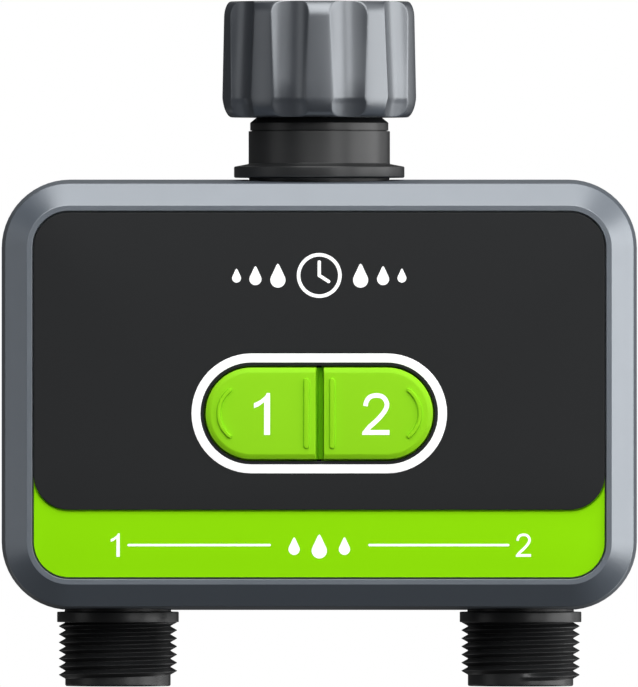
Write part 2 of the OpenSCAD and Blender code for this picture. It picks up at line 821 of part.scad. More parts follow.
module wire_connectors() {
    color("white") for (x = [-44.5, 18, 44.5])
        translate([x - 3, board_front_y + board_t + 0.02, -58]) cube([6, 4, 5]);
}

switch_body_t = 3.5;

module button_switches() {
    color("black") for (x = [-button_x, button_x]) difference() {
        on_board(x, pill_z, 6, 6, switch_body_t);
        rod_y(x, pill_z, 1.8, board_front_y - switch_body_t - 1, board_front_y - 1.5);
    }
}

module switch_plunger(side) {
    color("gray") rod_y(side * button_x, pill_z, 1.7, switch_top_y, board_front_y - 1.9);
}

module board_screws() {
    color("silver") at_board_holes() translate([0, board_front_y + board_t + 0.02, 0]) rotate([-90, 0, 0])
        pan_screw(1.05, 6, 2.4, 1.4);
}

module coil_wires() {
    color("firebrick") for (side = [-1, 1], gap = [-0.9, 0.9]) cord(
        wire_path([side * 44.5 + gap, board_front_y + board_t + 2, -52.6], [0, 5, 8],
                  [side * 45 + gap * 3, -9.2, bobbin_z1 + 0.4], [0, -0.5, 7]),
        0.5, 6, [1, 0, 0]);
}

module battery_wires() {
    color("black") for (k = [0, 1]) cord(
        wire_path([17 + 2 * k, board_front_y + board_t + 2, -52.6], [0, 1, 9],
                  [wire_hole_xs[k], bay_floor_y - bay_wall + 0.4, bay_top_z - 1.4], [0, -9, 3]),
        0.6, 6, [1, 0, 0]);
}

// ---- Batteries -----------------------------------------------------------------------------

function cell_x(k) = (k - (cell_count - 1) / 2) * cell_pitch;
function cell_up(k) = k % 2 == 0 ? 1 : -1;

// Cells stand side by side, turned end for end in turn.
module batteries() {
    color("darkslategray") for (k = [0:cell_count - 1])
        translate([cell_x(k), cell_y, bay_mid_z + cell_up(k) * cell_shift])
            rotate([cell_up(k) > 0 ? 0 : 180, 0, 0]) {
                translate([0, 0, -cell_len / 2]) cylinder(d = cell_d, h = cell_len - 1.2);
                translate([0, 0, cell_len / 2 - 1.2 - EPS]) cylinder(r = 2.7, h = 1.2);
            }
}

module contact_springs() {
    color("silver") for (k = [0:cell_count - 1])
        translate([cell_x(k), cell_y, bay_mid_z]) rotate([cell_up(k) > 0 ? 180 : 0, 0, 0])
            spring(2.6, 5, cell_len / 2 - cell_shift + 0.02, bay_h / 2 - 0.45, 3, 0.4);
}

module contact_plates() {
    t = 0.4;
    color("silver") for (k = [0:cell_count - 1], end = [-1, 1])
        translate([cell_x(k) - 5.5, bay_floor_y + 1, bay_mid_z + end * (bay_h / 2 - t / 2 - 0.02) - t / 2])
            cube([11, 12, t]);
}

// ---- Battery cover -------------------------------------------------------------------------

module battery_cover() {
    cover_h = cover_top_z - cover_bottom_z;
    mid_z = (cover_top_z + cover_bottom_z) / 2;
    color("black") difference() {
        union() {
            slab(cover_y, cover_y + cover_t) translate([0, mid_z]) rounded_rect(cover_w, cover_h, 4);
            slab(back_y - 0.7, cover_y + EPS) translate([0, bay_mid_z]) difference() {
                square([bay_w - 1, bay_h - 1], center = true);
                square([bay_w - 3.4, bay_h - 3.4], center = true);
            }
            for (x = [-knuckle_x, knuckle_x]) translate([x - knuckle_w / 2, 0, hinge_z]) {
                translate([0, hinge_y, 0]) rotate([0, 90, 0]) cylinder(r = knuckle_r, h = knuckle_w);
                translate([0, cover_y + 0.4, 0]) cube([knuckle_w, cover_t - 0.4, knuckle_r + 1.3]);
            }
            translate([-9, cover_y + cover_t - EPS, cover_top_z - 7]) cube([18, 1.4, 3]);
        }
        hinge_bore(0.05);
        for (x = [-1, 1]) translate([x * 12 - 0.6, back_y - 2, cover_top_z - 14]) cube([1.2, 6, 15]);
    }
}

module cover_gasket() {
    color("dimgray") slab(back_y - 0.98, back_y + 0.08) gasket_outline(0);
}

module cover_hinge_pin() {
    len = 2 * lug_x + lug_w;
    color("silver") translate([-len / 2, hinge_y, hinge_z]) rotate([0, 90, 0]) cylinder(r = pin_r, h = len);
}

// ---- Nodes ---------------------------------------------------------------------------------

front_housing();
rear_housing();
housing_gasket();
housing_screws();
zone_plate();
front_panel();
button_ring();
button_1();
button_2();
keypad_seal();
keypad_clamp();
keypad_screws();
inlet_nut();
inlet_washer();
filter_screen();
inlet_stem();
stem_lock_ring();
stem_o_ring();
manifold();
manifold_o_rings();
valve_body(1);  // valve_body_1
valve_body(2);  // valve_body_2
diaphragm(1);  // diaphragm_1
diaphragm(2);  // diaphragm_2
valve_disc(1);  // valve_disc_1
valve_disc(2);  // valve_disc_2
disc_spring(1);  // disc_spring_1
disc_spring(2);  // disc_spring_2
bonnet(1);  // bonnet_1
bonnet(2);  // bonnet_2
bonnet_screws();
plunger(1);  // plunger_1
plunger(2);  // plunger_2
plunger_spring(1);  // plunger_spring_1
plunger_spring(2);  // plunger_spring_2
pole_pieces();
latch_magnets();
coil_bobbins();
coil_windings();
solenoid_frames();
circuit_board();
radio_module();
capacitors();
driver_chips();
wire_connectors();
button_switches();
switch_plunger(-1);  // switch_plunger_1
switch_plunger(1);  // switch_plunger_2
board_screws();
coil_wires();
battery_wires();
batteries();
contact_springs();
contact_plates();
battery_cover();
cover_gasket();
cover_hinge_pin();
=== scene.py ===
"""Looks for a two-zone drip irrigation timer: plastic mouldings, threads, prints, lights and camera.

Lengths are written in millimetres in the part's own frame: +Z up, the front faces -Y, and the origin is on
the inlet axis at the washer. They become metres when a mesh is made.
"""

import json
import math

import bmesh
import bpy
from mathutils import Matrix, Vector


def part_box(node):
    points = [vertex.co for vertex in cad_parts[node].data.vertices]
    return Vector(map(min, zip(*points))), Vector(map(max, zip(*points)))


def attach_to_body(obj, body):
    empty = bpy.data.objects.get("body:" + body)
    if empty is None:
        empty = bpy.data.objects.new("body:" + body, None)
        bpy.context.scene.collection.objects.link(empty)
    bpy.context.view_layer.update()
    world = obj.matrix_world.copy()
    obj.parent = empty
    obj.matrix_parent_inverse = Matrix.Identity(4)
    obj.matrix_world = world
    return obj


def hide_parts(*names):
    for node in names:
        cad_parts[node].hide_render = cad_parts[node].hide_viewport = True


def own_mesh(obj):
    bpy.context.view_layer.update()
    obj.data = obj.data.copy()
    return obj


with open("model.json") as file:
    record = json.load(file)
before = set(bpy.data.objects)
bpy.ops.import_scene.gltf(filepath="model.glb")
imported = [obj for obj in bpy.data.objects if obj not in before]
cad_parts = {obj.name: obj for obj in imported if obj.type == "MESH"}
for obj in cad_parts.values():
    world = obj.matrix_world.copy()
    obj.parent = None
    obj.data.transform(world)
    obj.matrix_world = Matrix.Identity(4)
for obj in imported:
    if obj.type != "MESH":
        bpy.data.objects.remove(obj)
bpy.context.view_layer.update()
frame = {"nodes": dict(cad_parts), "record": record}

MM = 0.001
TAU = 2 * math.pi

# ---- Sizes ----


def low(node, axis):
    """A CAD node's lowest coordinate along an axis, in millimetres, to the nearest 0.01."""
    return round(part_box(node)[0]["xyz".index(axis)] / MM, 2)


def high(node, axis):
    """A CAD node's highest coordinate along an axis."""
    return round(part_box(node)[1]["xyz".index(axis)] / MM, 2)


def middle(node, axis):
    """The middle of a CAD node along an axis."""
    return (low(node, axis) + high(node, axis)) / 2


# Housing
BODY_W = 2 * high("front_housing", "x")
BODY_TOP = high("front_housing", "z")
BODY_BOTTOM = low("front_housing", "z")
BODY_H = BODY_TOP - BODY_BOTTOM
BODY_MID = (BODY_TOP + BODY_BOTTOM) / 2
CORNER_R = 15.3
WALL = 2.4
RIM_Y = low("front_housing", "y")
RECESS_Y = RIM_Y + 2
BACK_Y = 28.0

# Green plate and black panel. A dark gap is left between them and the rim.
FASCIA_W = 2 * high("zone_plate", "x") - 0.4
FASCIA_H = high("zone_plate", "z") - low("zone_plate", "z") - 0.5
FASCIA_R = 7.85
BLACK_H = 66.15
PLATE_Y = low("zone_plate", "y")
PANEL_Y = low("front_panel", "y")

# Pair of buttons. The pill is their common outline, and their hidden flange stands FLANGE_W outside it.
FLANGE_W = 1.2
PILL_W = 2 * (high("button_2", "x") - FLANGE_W)
PILL_H = high("button_2", "z") - low("button_2", "z") - 2 * FLANGE_W
PILL_Z = middle("button_2", "z")
PILL_GAP = 0.4
BUTTON_X = 13
BUTTON_Y = RIM_Y - 1.3
FLANGE_Y = -24.5
SPLIT_X = 0.5
SWITCH_TOP_Y = low("switch_plunger_1", "y")

# Ports. The threads are pipe threads, and HEADER_Z is the height of the pipe to both valves.
PORT_X = 45.0
MOUTH_Z = high("inlet_nut", "z")
NUT_BOTTOM_Z = low("inlet_nut", "z")
OUTLET_TIP_Z = low("valve_body_1", "z")
THREAD_R, THREAD_ROOT_R, PITCH = 13.2, 11.78, 1.814
HEADER_Z = -108.0

# Battery bay, cover and cells
COVER_W = 2 * high("battery_cover", "x")
COVER_TOP = high("battery_cover", "z")
COVER_BOTTOM = -97.0
BAY_W, BAY_H, BAY_MID, BAY_FLOOR_Y = COVER_W - 8, 56.0, -66.0, 12.7
HINGE_Y, HINGE_Z, HINGE_R = middle("cover_hinge_pin", "y"), middle("cover_hinge_pin", "z"), 2.6
CELL_COUNT, CELL_STEP, CELL_LENGTH, CELL_Y = 4, 15.1, 50, 19.95
CONTACT_T = 0.45
CELL_SHIFT = (BAY_H - CELL_LENGTH) / 2 - CONTACT_T

# ---- Mesh helpers ----

# Points closer than MERGE become one, and edges sharper than SHARP_EDGE degrees stay sharp.
MERGE = 0.0005
SHARP_EDGE = 32


def sweep(start, end, steps):
    """Angles in radians from start to end, which are in degrees."""
    return [math.radians(start + (end - start) * i / steps) for i in range(steps + 1)]


def circle(r, a=0.0, b=0.0, n=96):
    """Points of a circle of radius r round (a, b)."""
    return [(a + r * math.cos(TAU * i / n), b + r * math.sin(TAU * i / n)) for i in range(n)]


def fillet(points, radii, steps=6):
    """Rounds the corners of an open profile. radii has one value per point; the ends' are ignored."""
    nearly_straight = math.pi - 0.02
    out = [Vector(points[0])]
    for before, here, after, r in zip(points, points[1:], points[2:], radii[1:-1]):
        corner = Vector(here)
        u, v = Vector(before) - corner, Vector(after) - corner
        if r <= 0 or u.length < 1e-6 or v.length < 1e-6 or u.angle(v) > nearly_straight:
            out.append(corner)
            continue
        angle = u.angle(v)
        back = min(r / math.tan(angle / 2), 0.49 * u.length, 0.49 * v.length)
        r = back * math.tan(angle / 2)
        u.normalize()
        v.normalize()
        centre = corner + (u + v).normalized() * (r / math.sin(angle / 2))
        start, end = corner + u * back - centre, corner + v * back - centre
        turn = math.pi - angle
        for i in range(steps + 1):
            t = i / steps
            arm = math.sin((1 - t) * turn) * start + math.sin(t * turn) * end
            out.append(centre + arm / math.sin(turn))
    out.append(Vector(points[-1]))
    return out


def rounded_rect(w, h, r, x=0.0, z=BODY_MID, n=14):
    """Points of a rounded rectangle in X and Z, going round anticlockwise as seen from the front."""
    r = min(max(r, 0.001), w / 2, h / 2)
    corners = [(1, 1, 0), (-1, 1, 90), (-1, -1, 180), (1, -1, 270)]
    out = []
    for sx, sz, start in corners:
        cx, cz = x + sx * (w / 2 - r), z + sz * (h / 2 - r)
        out += [(cx + r * math.cos(a), cz + r * math.sin(a)) for a in sweep(start, start + 90, n)]
    return out


def body_outline(inset):
    """The housing's outline, moved in by inset."""
    return rounded_rect(BODY_W - 2 * inset, BODY_H - 2 * inset, CORNER_R - inset)


def pill_outline(grow):
    """The buttons' common outline, moved out by grow."""
    return rounded_rect(PILL_W + 2 * grow, PILL_H + 2 * grow, PILL_H / 2 + grow, z=PILL_Z)


def bay_outline(grow, r):
    """The battery bay's outline, wider and higher by grow."""
    return rounded_rect(BAY_W + grow, BAY_H + grow, r, z=BAY_MID)


def at_y(outline, y):
    """Stands an outline of X and Z up at y."""
    return [(x, y, z) for x, z in outline]


def loft(bm, rings, loop=False, caps=False):
    """Skins a list of closed rings of equal length. loop joins the last ring to the first."""
    verts = [[bm.verts.new(p) for p in ring] for ring in rings]
    n = len(verts[0])
    pairs = list(zip(verts, verts[1:])) + ([(verts[-1], verts[0])] if loop else [])
    for a, b in pairs:
        for i in range(n):
            j = (i + 1) % n
            bm.faces.new((a[i], a[j], b[j], b[i]))
    if caps:
        bm.faces.new(list(reversed(verts[0])))
        bm.faces.new(verts[-1])


def turned(bm, profile, segments=96, x=0.0, y=0.0, loop=False):
    """Turns a profile of (radius, z) pairs round an upright axis at x and y."""
    loft(bm, [[(a, b, z) for a, b in circle(r, x, y, segments)] for r, z in profile], loop=loop)


def turned_along_x(bm, profile, segments, y, z):
    """Turns a closed profile of (radius, x) pairs round an axis along X at y and z."""
    loft(bm, [[(x, a, b) for a, b in circle(r, y, z, segments)] for r, x in profile], loop=True)


def stack(rings):
    """A closed solid from outline rings given as (outline, y)."""
    bm = bmesh.new()
    loft(bm, [at_y(outline, y) for outline, y in rings], caps=True)
    return bm


def hoop(rings):
    """A closed ring-shaped solid: its section has one corner for each (outline, y)."""
    bm = bmesh.new()
    loft(bm, [at_y(outline, y) for outline, y in rings], loop=True)
    return bm


def rod(r, z0, z1, x=0.0, y=0.0):
    """An upright rod."""
    bm = bmesh.new()
    ring = circle(r, x, y)
    loft(bm, [[(a, b, z0) for a, b in ring], [(a, b, z1) for a, b in ring]], caps=True)
    return bm


def rod_y(r, x, z, y0, y1, segments=48):
    """A rod along Y."""
    ring = circle(r, x, z, segments)
    return stack([(ring, y0), (ring, y1)])


def mesh_object(name, bm):
    """Turns a bmesh in millimetres into an object in metres, and frees the bmesh."""
    bmesh.ops.recalc_face_normals(bm, faces=bm.faces)
    bmesh.ops.scale(bm, vec=(MM, MM, MM), verts=bm.verts)
    mesh = bpy.data.meshes.new(name)
    bm.to_mesh(mesh)
    bm.free()
    obj = bpy.data.objects.new(name, mesh)
    bpy.context.scene.collection.objects.link(obj)
    return obj


def finish_shading(obj, sharp):
    """Shades smoothly, except at edges sharper than the angle in degrees."""
    obj.data.shade_smooth()
    obj.data.set_sharp_from_angle(angle=math.radians(sharp))


def attach(obj, body, slot, replaces):
    """Gives an object its material, the CAD body it rides on and the CAD nodes it stands for."""
    obj.data.materials.clear()
    obj.data.materials.append(material(slot))
    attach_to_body(obj, body)
    if replaces:
        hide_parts(*replaces)


def piece(name, bm, body, slot, replaces=(), sharp=SHARP_EDGE, merge=MERGE):
    """Turns a bmesh in millimetres into a finished piece."""
    if merge:
        bmesh.ops.remove_doubles(bm, verts=bm.verts, dist=merge)
    bmesh.ops.dissolve_degenerate(bm, edges=bm.edges, dist=merge or 1e-5)
    obj = mesh_object(name, bm)
    finish_shading(obj, sharp)
    attach(obj, body, slot, replaces)
    return obj


def solid(name, bm):
    """A plain object to cut from, which has no material and no body until dress() is called."""
    bmesh.ops.remove_doubles(bm, verts=bm.verts, dist=MERGE)
    return mesh_object(name, bm)


def cut(obj, bm, operation="DIFFERENCE"):
    """Cuts a bmesh solid in millimetres out of an object, or joins it on with UNION."""
    cutter = mesh_object("cutter", bm)
    boolean = obj.modifiers.new("cut", "BOOLEAN")
    boolean.operation = operation
    boolean.solver = "EXACT"
    boolean.object = cutter
    evaluated = obj.evaluated_get(bpy.context.evaluated_depsgraph_get())
    result = bpy.data.meshes.new_from_object(evaluated)
    obj.modifiers.clear()
    old, obj.data = obj.data, result
    bpy.data.meshes.remove(old)
    cutter_mesh = cutter.data
    bpy.data.objects.remove(cutter)
    bpy.data.meshes.remove(cutter_mesh)


def dress(obj, body, slot, replaces):
    """Finishes an object that was made with solid() and cut()."""
    finish_shading(obj, SHARP_EDGE)
    obj.modifiers.new("even_normals", "WEIGHTED_NORMAL").keep_sharp = True
    attach(obj, body, slot, replaces)


# ---- Materials ----

# slot: kind, sRGB colour, roughness, specular, colour variation, grain size in mm, grain height in mm
FINISHES = {
    "housing_grey": ("satin", (80, 88, 98), 0.36, 0.5, 0.03, 0.3, 0.002),
    "nut_grey": ("satin", (46, 50, 57), 0.35, 0.5, 0.03, 0.3, 0.002),
    "panel_black": ("plastic", (45, 46, 47), 0.3, 0.05, 0.02, 0.8, 0.0005),
    "zone_green": ("plastic", (150, 233, 11), 0.35, 0.03, 0.02, 0.8, 0.0005),
    "button_green": ("plastic", (150, 224, 29), 0.45, 0.1, 0.02, 0.4, 0.001),
    "print_white": ("plastic", (250, 250, 250), 0.4, 0.1, 0.01, 0.8, 0.0),
    "port_black": ("plastic", (34, 35, 36), 0.36, 0.6, 0.05, 0.35, 0.002),
    "cover_black": ("plastic", (38, 40, 43), 0.5, 0.5, 0.06, 0.35, 0.008),
    "moulding_white": ("plastic", (222, 220, 214), 0.5, 0.4, 0.03, 0.4, 0.003),
    "seal_rubber": ("plastic", (26, 26, 28), 0.75, 0.3, 0.1, 0.5, 0.006),
    "washer_rubber": ("plastic", (24, 24, 26), 0.75, 0.3, 0.1, 0.5, 0.006),
    "chip_black": ("plastic", (24, 24, 26), 0.55, 0.4, 0.06, 0.2, 0.004),
    "wire_red": ("plastic", (170, 24, 18), 0.4, 0.5, 0.05, 0.5, 0.002),
    "board_green": ("plastic", (14, 92, 52), 0.35, 0.5, 0.1, 1.2, 0.004),
    "cell_wrap": ("plastic", (36, 60, 84), 0.28, 0.5, 0.04, 0.8, 0.001),
    "filter_steel": ("metal", (196, 196, 192), 0.35, 0.5, 0.08, 0.3, 0.004),
    "screw_steel": ("metal", (188, 188, 186), 0.32, 0.5, 0.1, 0.25, 0.004),
    "spring_steel": ("metal", (190, 190, 188), 0.25, 0.5, 0.08, 0.25, 0.003),
    "yoke_steel": ("metal", (168, 168, 166), 0.4, 0.5, 0.12, 0.4, 0.006),
    "magnet_nickel": ("metal", (204, 200, 190), 0.2, 0.5, 0.06, 0.5, 0.002),
    "coil_copper": ("metal", (196, 110, 62), 0.35, 0.5, 0.1, 0.3, 0.02),
}

# Satin plastic has a strong, slightly blue sheen; the other kinds have the usual one.
SATIN_IOR, USUAL_IOR = 2.65, 1.5
SATIN_TINT = (0.91, 0.955, 1.0, 1)
DRIFT_SIZE, PATCH_SIZE = 28, 6
ROUGHNESS_SPREAD = 0.04
GRAIN_STRENGTH = 0.6
# Painted light: the white prints glow a little from within, so they stay white where they lie in shade.
PRINT_PAINTED_GLOW = 0.25


def set_inputs(node, values):
    """Sets a shader node's inputs by name."""
    for name, value in values.items():
        node.inputs[name].default_value = value


def linear(rgb):
    """An sRGB colour of 0 to 255 as linear RGBA."""
    out = []
    for c in rgb:
        c /= 255
        out.append(c / 12.92 if c <= 0.04045 else ((c + 0.055) / 1.055) ** 2.4)
    return (*out, 1.0)


def material(slot):
    """Procedural finish: slow colour drift, uneven roughness and a fine moulded or worked grain."""
    name = "finish_" + slot
    if name in bpy.data.materials:
        return bpy.data.materials[name]
    kind, rgb, rough, specular, vary, grain, height = FINISHES[slot]
    mat = bpy.data.materials.new(name)
    mat.use_nodes = True
    nodes, links = mat.node_tree.nodes, mat.node_tree.links
    shader = nodes["Principled BSDF"]
    place = nodes.new("ShaderNodeTexCoord").outputs["Object"]

    def noise(size, detail):
        node = nodes.new("ShaderNodeTexNoise")
        set_inputs(node, {"Scale": 1 / (size * MM), "Detail": detail})
        links.new(place, node.inputs["Vector"])
        return node.outputs["Fac"]

    def spread(value, least, most):
        node = nodes.new("ShaderNodeMapRange")
        set_inputs(node, {"From Min": 0.1, "From Max": 0.9, "To Min": least, "To Max": most})
        links.new(value, node.inputs["Value"])
        return node.outputs["Result"]

    tint = nodes.new("ShaderNodeMixRGB")
    tint.blend_type = "MULTIPLY"
    set_inputs(tint, {"Fac": 1.0, "Color1": linear(rgb)})
    links.new(spread(noise(DRIFT_SIZE, 3), 1 - vary / 2, 1 + vary / 2), tint.inputs["Color2"])
    links.new(tint.outputs["Color"], shader.inputs["Base Color"])
    uneven = spread(noise(PATCH_SIZE, 4), rough - ROUGHNESS_SPREAD, rough + ROUGHNESS_SPREAD)
    links.new(uneven, shader.inputs["Roughness"])
    set_inputs(shader, {"Metallic": 0.0, "IOR": USUAL_IOR, "Specular IOR Level": specular})
    if kind == "metal":
        set_inputs(shader, {"Metallic": 1.0})
    if kind == "satin":
        set_inputs(shader, {"IOR": SATIN_IOR, "Specular Tint": SATIN_TINT})
    # Painted light: the white ink glows a little, so it stays white in shade.
    if slot == "print_white":
        set_inputs(shader, {"Emission Color": linear(rgb), "Emission Strength": PRINT_PAINTED_GLOW})
    if height:
        bump = nodes.new("ShaderNodeBump")
        set_inputs(bump, {"Distance": height * MM, "Strength": GRAIN_STRENGTH})
        links.new(noise(grain, 2), bump.inputs["Height"])
        links.new(bump.outputs["Normal"], shader.inputs["Normal"])
    return mat


# ---- Housing ----


def cut_ports(obj):
    """Cuts the hole for the collar and the two for the outlets."""
    collar_r, outlet_r, reach = 15.9, 12.1, 12
    cut(obj, rod(collar_r, BODY_TOP - reach, BODY_TOP + reach))
    for x in (-PORT_X, PORT_X):
        cut(obj, rod(outlet_r, BODY_BOTTOM - reach, BODY_BOTTOM + reach, x=x))


def build_front_housing():
    """The front half: side wall, bevel, flat rim, and a deep groove between the rim and the fascia."""
    rim_inset, recess_inset, groove_y = 7.12, 7.8, -26.9
    outer = fillet(
        [(0.25, 0), (0, -0.3), (1.0, -26.15), (5.9, RIM_Y), (rim_inset, RIM_Y), (rim_inset, groove_y),
         (recess_inset, groove_y), (recess_inset, RECESS_Y)],
        [0, 0.1, 0.4, 0.25, 0.1, 0, 0, 0],
    )
    obj = solid("housing_front", stack([(body_outline(inset), y) for inset, y in outer]))
    hollow = [(WALL, 1), (WALL + 0.9, -24), (WALL + 3, -25.6)]
    cut(obj, stack([(body_outline(inset), y) for inset, y in hollow]))
    cut(obj, stack([(pill_outline(PILL_GAP), -24), (pill_outline(PILL_GAP), -30)]))
    cut_ports(obj)
    dress(obj, "body", "housing_grey", ["front_housing"])


def add_battery_bay(obj):
    """A box on the inside of the back wall, its opening, and the seat for the cover's gasket."""
    lining = bay_outline(3, 1.5)
    cut(obj, stack([(lining, BAY_FLOOR_Y - 1.5), (lining, 25.8)]), "UNION")
    hole, mouth = bay_outline(0, 0.8), bay_outline(0.8, 1.2)
    cut(obj, stack([(hole, BAY_FLOOR_Y), (hole, BACK_Y - 0.4), (mouth, BACK_Y), (mouth, BACK_Y + 1)]))
    inner, outer = bay_outline(2.1, 1), bay_outline(4.7, 2)
    cut(obj, hoop([(inner, BACK_Y + 1), (outer, BACK_Y + 1), (outer, BACK_Y - 1), (inner, BACK_Y - 1)]))


def add_screw_boss(obj, x, z):
    """A boss for a housing screw, the well for its head and the hole for its shank."""
    cut(obj, rod_y(4, x, z, 1, 25.8), "UNION")
    well = [(2.9, 22), (2.9, 27.6), (3.5, 28.2), (3.5, 30)]
    cut(obj, stack([(rounded_rect(2 * r, 2 * r, r, x, z, 10), y) for r, y in well]))
    cut(obj, rod_y(1.55, x, z, -1, 23, 32))


def hinge_lug(side):
    """A lug on the back wall that holds one end of the cover's pin."""
    arc = sweep(-90, 90, 24)
    outline = [(HINGE_Y + HINGE_R * math.cos(a), HINGE_Z + HINGE_R * math.sin(a)) for a in arc]
    outline += [(BACK_Y - 1, HINGE_Z + HINGE_R), (BACK_Y - 1, HINGE_Z - HINGE_R)]
    rings = []
    for x, chamfer in ((28.7, 0.4), (29.1, 0), (33.9, 0), (34.3, 0.4)):
        k = 1 - chamfer / HINGE_R
        ring = []
        for y, z in outline:
            round_end = k if y > HINGE_Y else 1
            ring.append((side * x, HINGE_Y + (y - HINGE_Y) * round_end, HINGE_Z + (z - HINGE_Z) * k))
        rings.append(ring)
    lug = bmesh.new()
    loft(lug, rings, caps=True)
    return lug


def build_rear_housing():
    """The rear half, with the battery bay, four screw bosses and the hinge lugs."""
    outer = fillet([(0.25, 0), (0, 0.3), (1.1, BACK_Y), (12, BACK_Y)], [0, 0.1, 3.2, 0])
    obj = solid("housing_rear", stack([(body_outline(inset), y) for inset, y in outer]))
    hollow = [(WALL, -1), (WALL + 0.9, 22), (WALL + 3.5, 25.6)]
    cut(obj, stack([(body_outline(inset), y) for inset, y in hollow]))
    add_battery_bay(obj)
    cut_ports(obj)
    screw_x, screw_heights = 64.4, (-42.0, -108.0)
    for x in (-screw_x, screw_x):
        for z in screw_heights:
            add_screw_boss(obj, x, z)
    for side in (-1, 1):
        cut(obj, hinge_lug(side), "UNION")
    dress(obj, "body", "housing_grey", ["rear_housing"])


# ---- Fascia ----


def holed_plate(name, outer, hole, y_front, y_back, edge, slot, replaces, extra=()):
    """A flat plate with a hole and rounded edges.

    outer and hole take an inset in millimetres and give an outline. extra holds more (outline, y) rings that
    shape the face between them.
    """
    rings = [(outer(0), y_back)]
    rings += [(outer(edge * (1 - math.cos(a))), y_front + edge * (1 - math.sin(a))) for a in sweep(0, 90, 5)]
    rings += list(extra)
    rings += [(hole(edge * (1 - math.cos(a))), y_front + edge * (1 - math.sin(a))) for a in sweep(90, 0, 5)]
    rings += [(hole(0), y_back)]
    return piece(name, hoop(rings), "body", slot, replaces)


def plate_outline(inset):
    """The green plate's outline."""
    return rounded_rect(FASCIA_W - 2 * inset, FASCIA_H - 2 * inset, FASCIA_R - inset)


def panel_outline(inset):
    """The black panel's outline, at the top of the green plate's."""
    z = BODY_MID + (FASCIA_H - BLACK_H) / 2
    return rounded_rect(FASCIA_W - 2 * inset, BLACK_H - 2 * inset, FASCIA_R - inset, z=z)


def build_fascia():
    """The green plate, the black panel on top of it and the white ring set into the panel."""

    def opening(inset):
        return pill_outline(PILL_GAP + inset)

    plate_back, panel_back = high("zone_plate", "y"), high("front_panel", "y")
    band = holed_plate("zone_band", plate_outline, opening, PLATE_Y, plate_back, 0.15, "zone_green",
                       ["zone_plate"])
    # A groove in the green plate draws the dark line under the panel's edge.
    outside, inside, groove_floor = panel_outline(-0.38), panel_outline(0.5), PLATE_Y + 0.7
    cut(band, hoop([(outside, -30), (inside, -30), (inside, groove_floor), (outside, groove_floor)]))
    finish_shading(band, SHARP_EDGE)

    ring_outer, ring_inner, ring_gap = 3.14, 1.13, 0.12
    seat_y = PANEL_Y + 0.4
    seat = [(pill_outline(ring_outer + ring_gap), PANEL_Y), (pill_outline(ring_outer + ring_gap), seat_y),
            (pill_outline(ring_inner - 0.11), seat_y), (pill_outline(ring_inner - 0.11), PANEL_Y)]
    holed_plate("panel_gloss", panel_outline, opening, PANEL_Y, panel_back, 0.22, "panel_black",
                ["front_panel"], seat)

    def ring(inset):
        return pill_outline(ring_outer - inset)

    def ring_hole(inset):
        return pill_outline(ring_inner + inset)

    holed_plate("ring_white", ring, ring_hole, PANEL_Y - 0.03, seat_y - 0.02, 0.08, "print_white",
                ["button_ring"])


# ---- Buttons ----


def half_pill(side, inset, wall_x):
    """One button's outline: a round outer end and a straight split side with small corners."""
    r, cx = PILL_H / 2 - inset, (PILL_W - PILL_H) / 2
    corner = 0.15
    out = [(side * (cx + r * math.cos(a)), PILL_Z + r * math.sin(a)) for a in sweep(90, -90, 32)]
    for start, sz in ((270, -1), (180, 1)):
        for a in sweep(start, start - 90, 8):
            x = wall_x + corner + corner * math.cos(a)
            out.append((side * x, PILL_Z + sz * (r - corner) + corner * math.sin(a)))
    return out


def line_sides(line, half):
    """The left and right edges of a line drawn with a pen of the given half width."""
    pts = [Vector(p) for p in line]
    left, right = [], []
    for i, p in enumerate(pts):
        d = (pts[min(i + 1, len(pts) - 1)] - pts[max(i - 1, 0)]).normalized()
        n = Vector((-d.y, d.x))
        left.append(p + n * half)
        right.append(p - n * half)
    return left, right


def stroke_outline(line, half, steps=8):
    """Outline of a line drawn with a round pen of the given half width."""
    left, right = line_sides(line, half)
    pts = [Vector(p) for p in line]

    def cap(p, d):
        start = math.atan2(d.x, -d.y)
        turns = [start - math.pi * i / steps for i in range(1, steps)]
        return [p + half * Vector((math.cos(a), math.sin(a))) for a in turns]

    end_cap = cap(pts[-1], (pts[-1] - pts[-2]).normalized())
    start_cap = cap(pts[0], (pts[0] - pts[1]).normalized())
    return [tuple(p) for p in left + end_cap + right[::-1] + start_cap]


def ridge(bm, line, width, y_base, height):
    """A raised rounded rib along a line."""
    half = width / 2
    side = fillet([(0, 0.05), (0, 0), (0.18, -height), (half, -height)], [0, 0, 0.1, 0], 4)
    loft(bm, [at_y(stroke_outline(line, half - inset), y_base + y) for inset, y in side[:-1]], caps=True)


def across(profile, y):
    """The first coordinate of a profile where its second, which falls from end to end, is y."""
    for (a, front), (b, back) in zip(profile, profile[1:]):
        if front >= y >= back and front > back:
            return a + (b - a) * (front - y) / (front - back)
    return profile[-2][0]


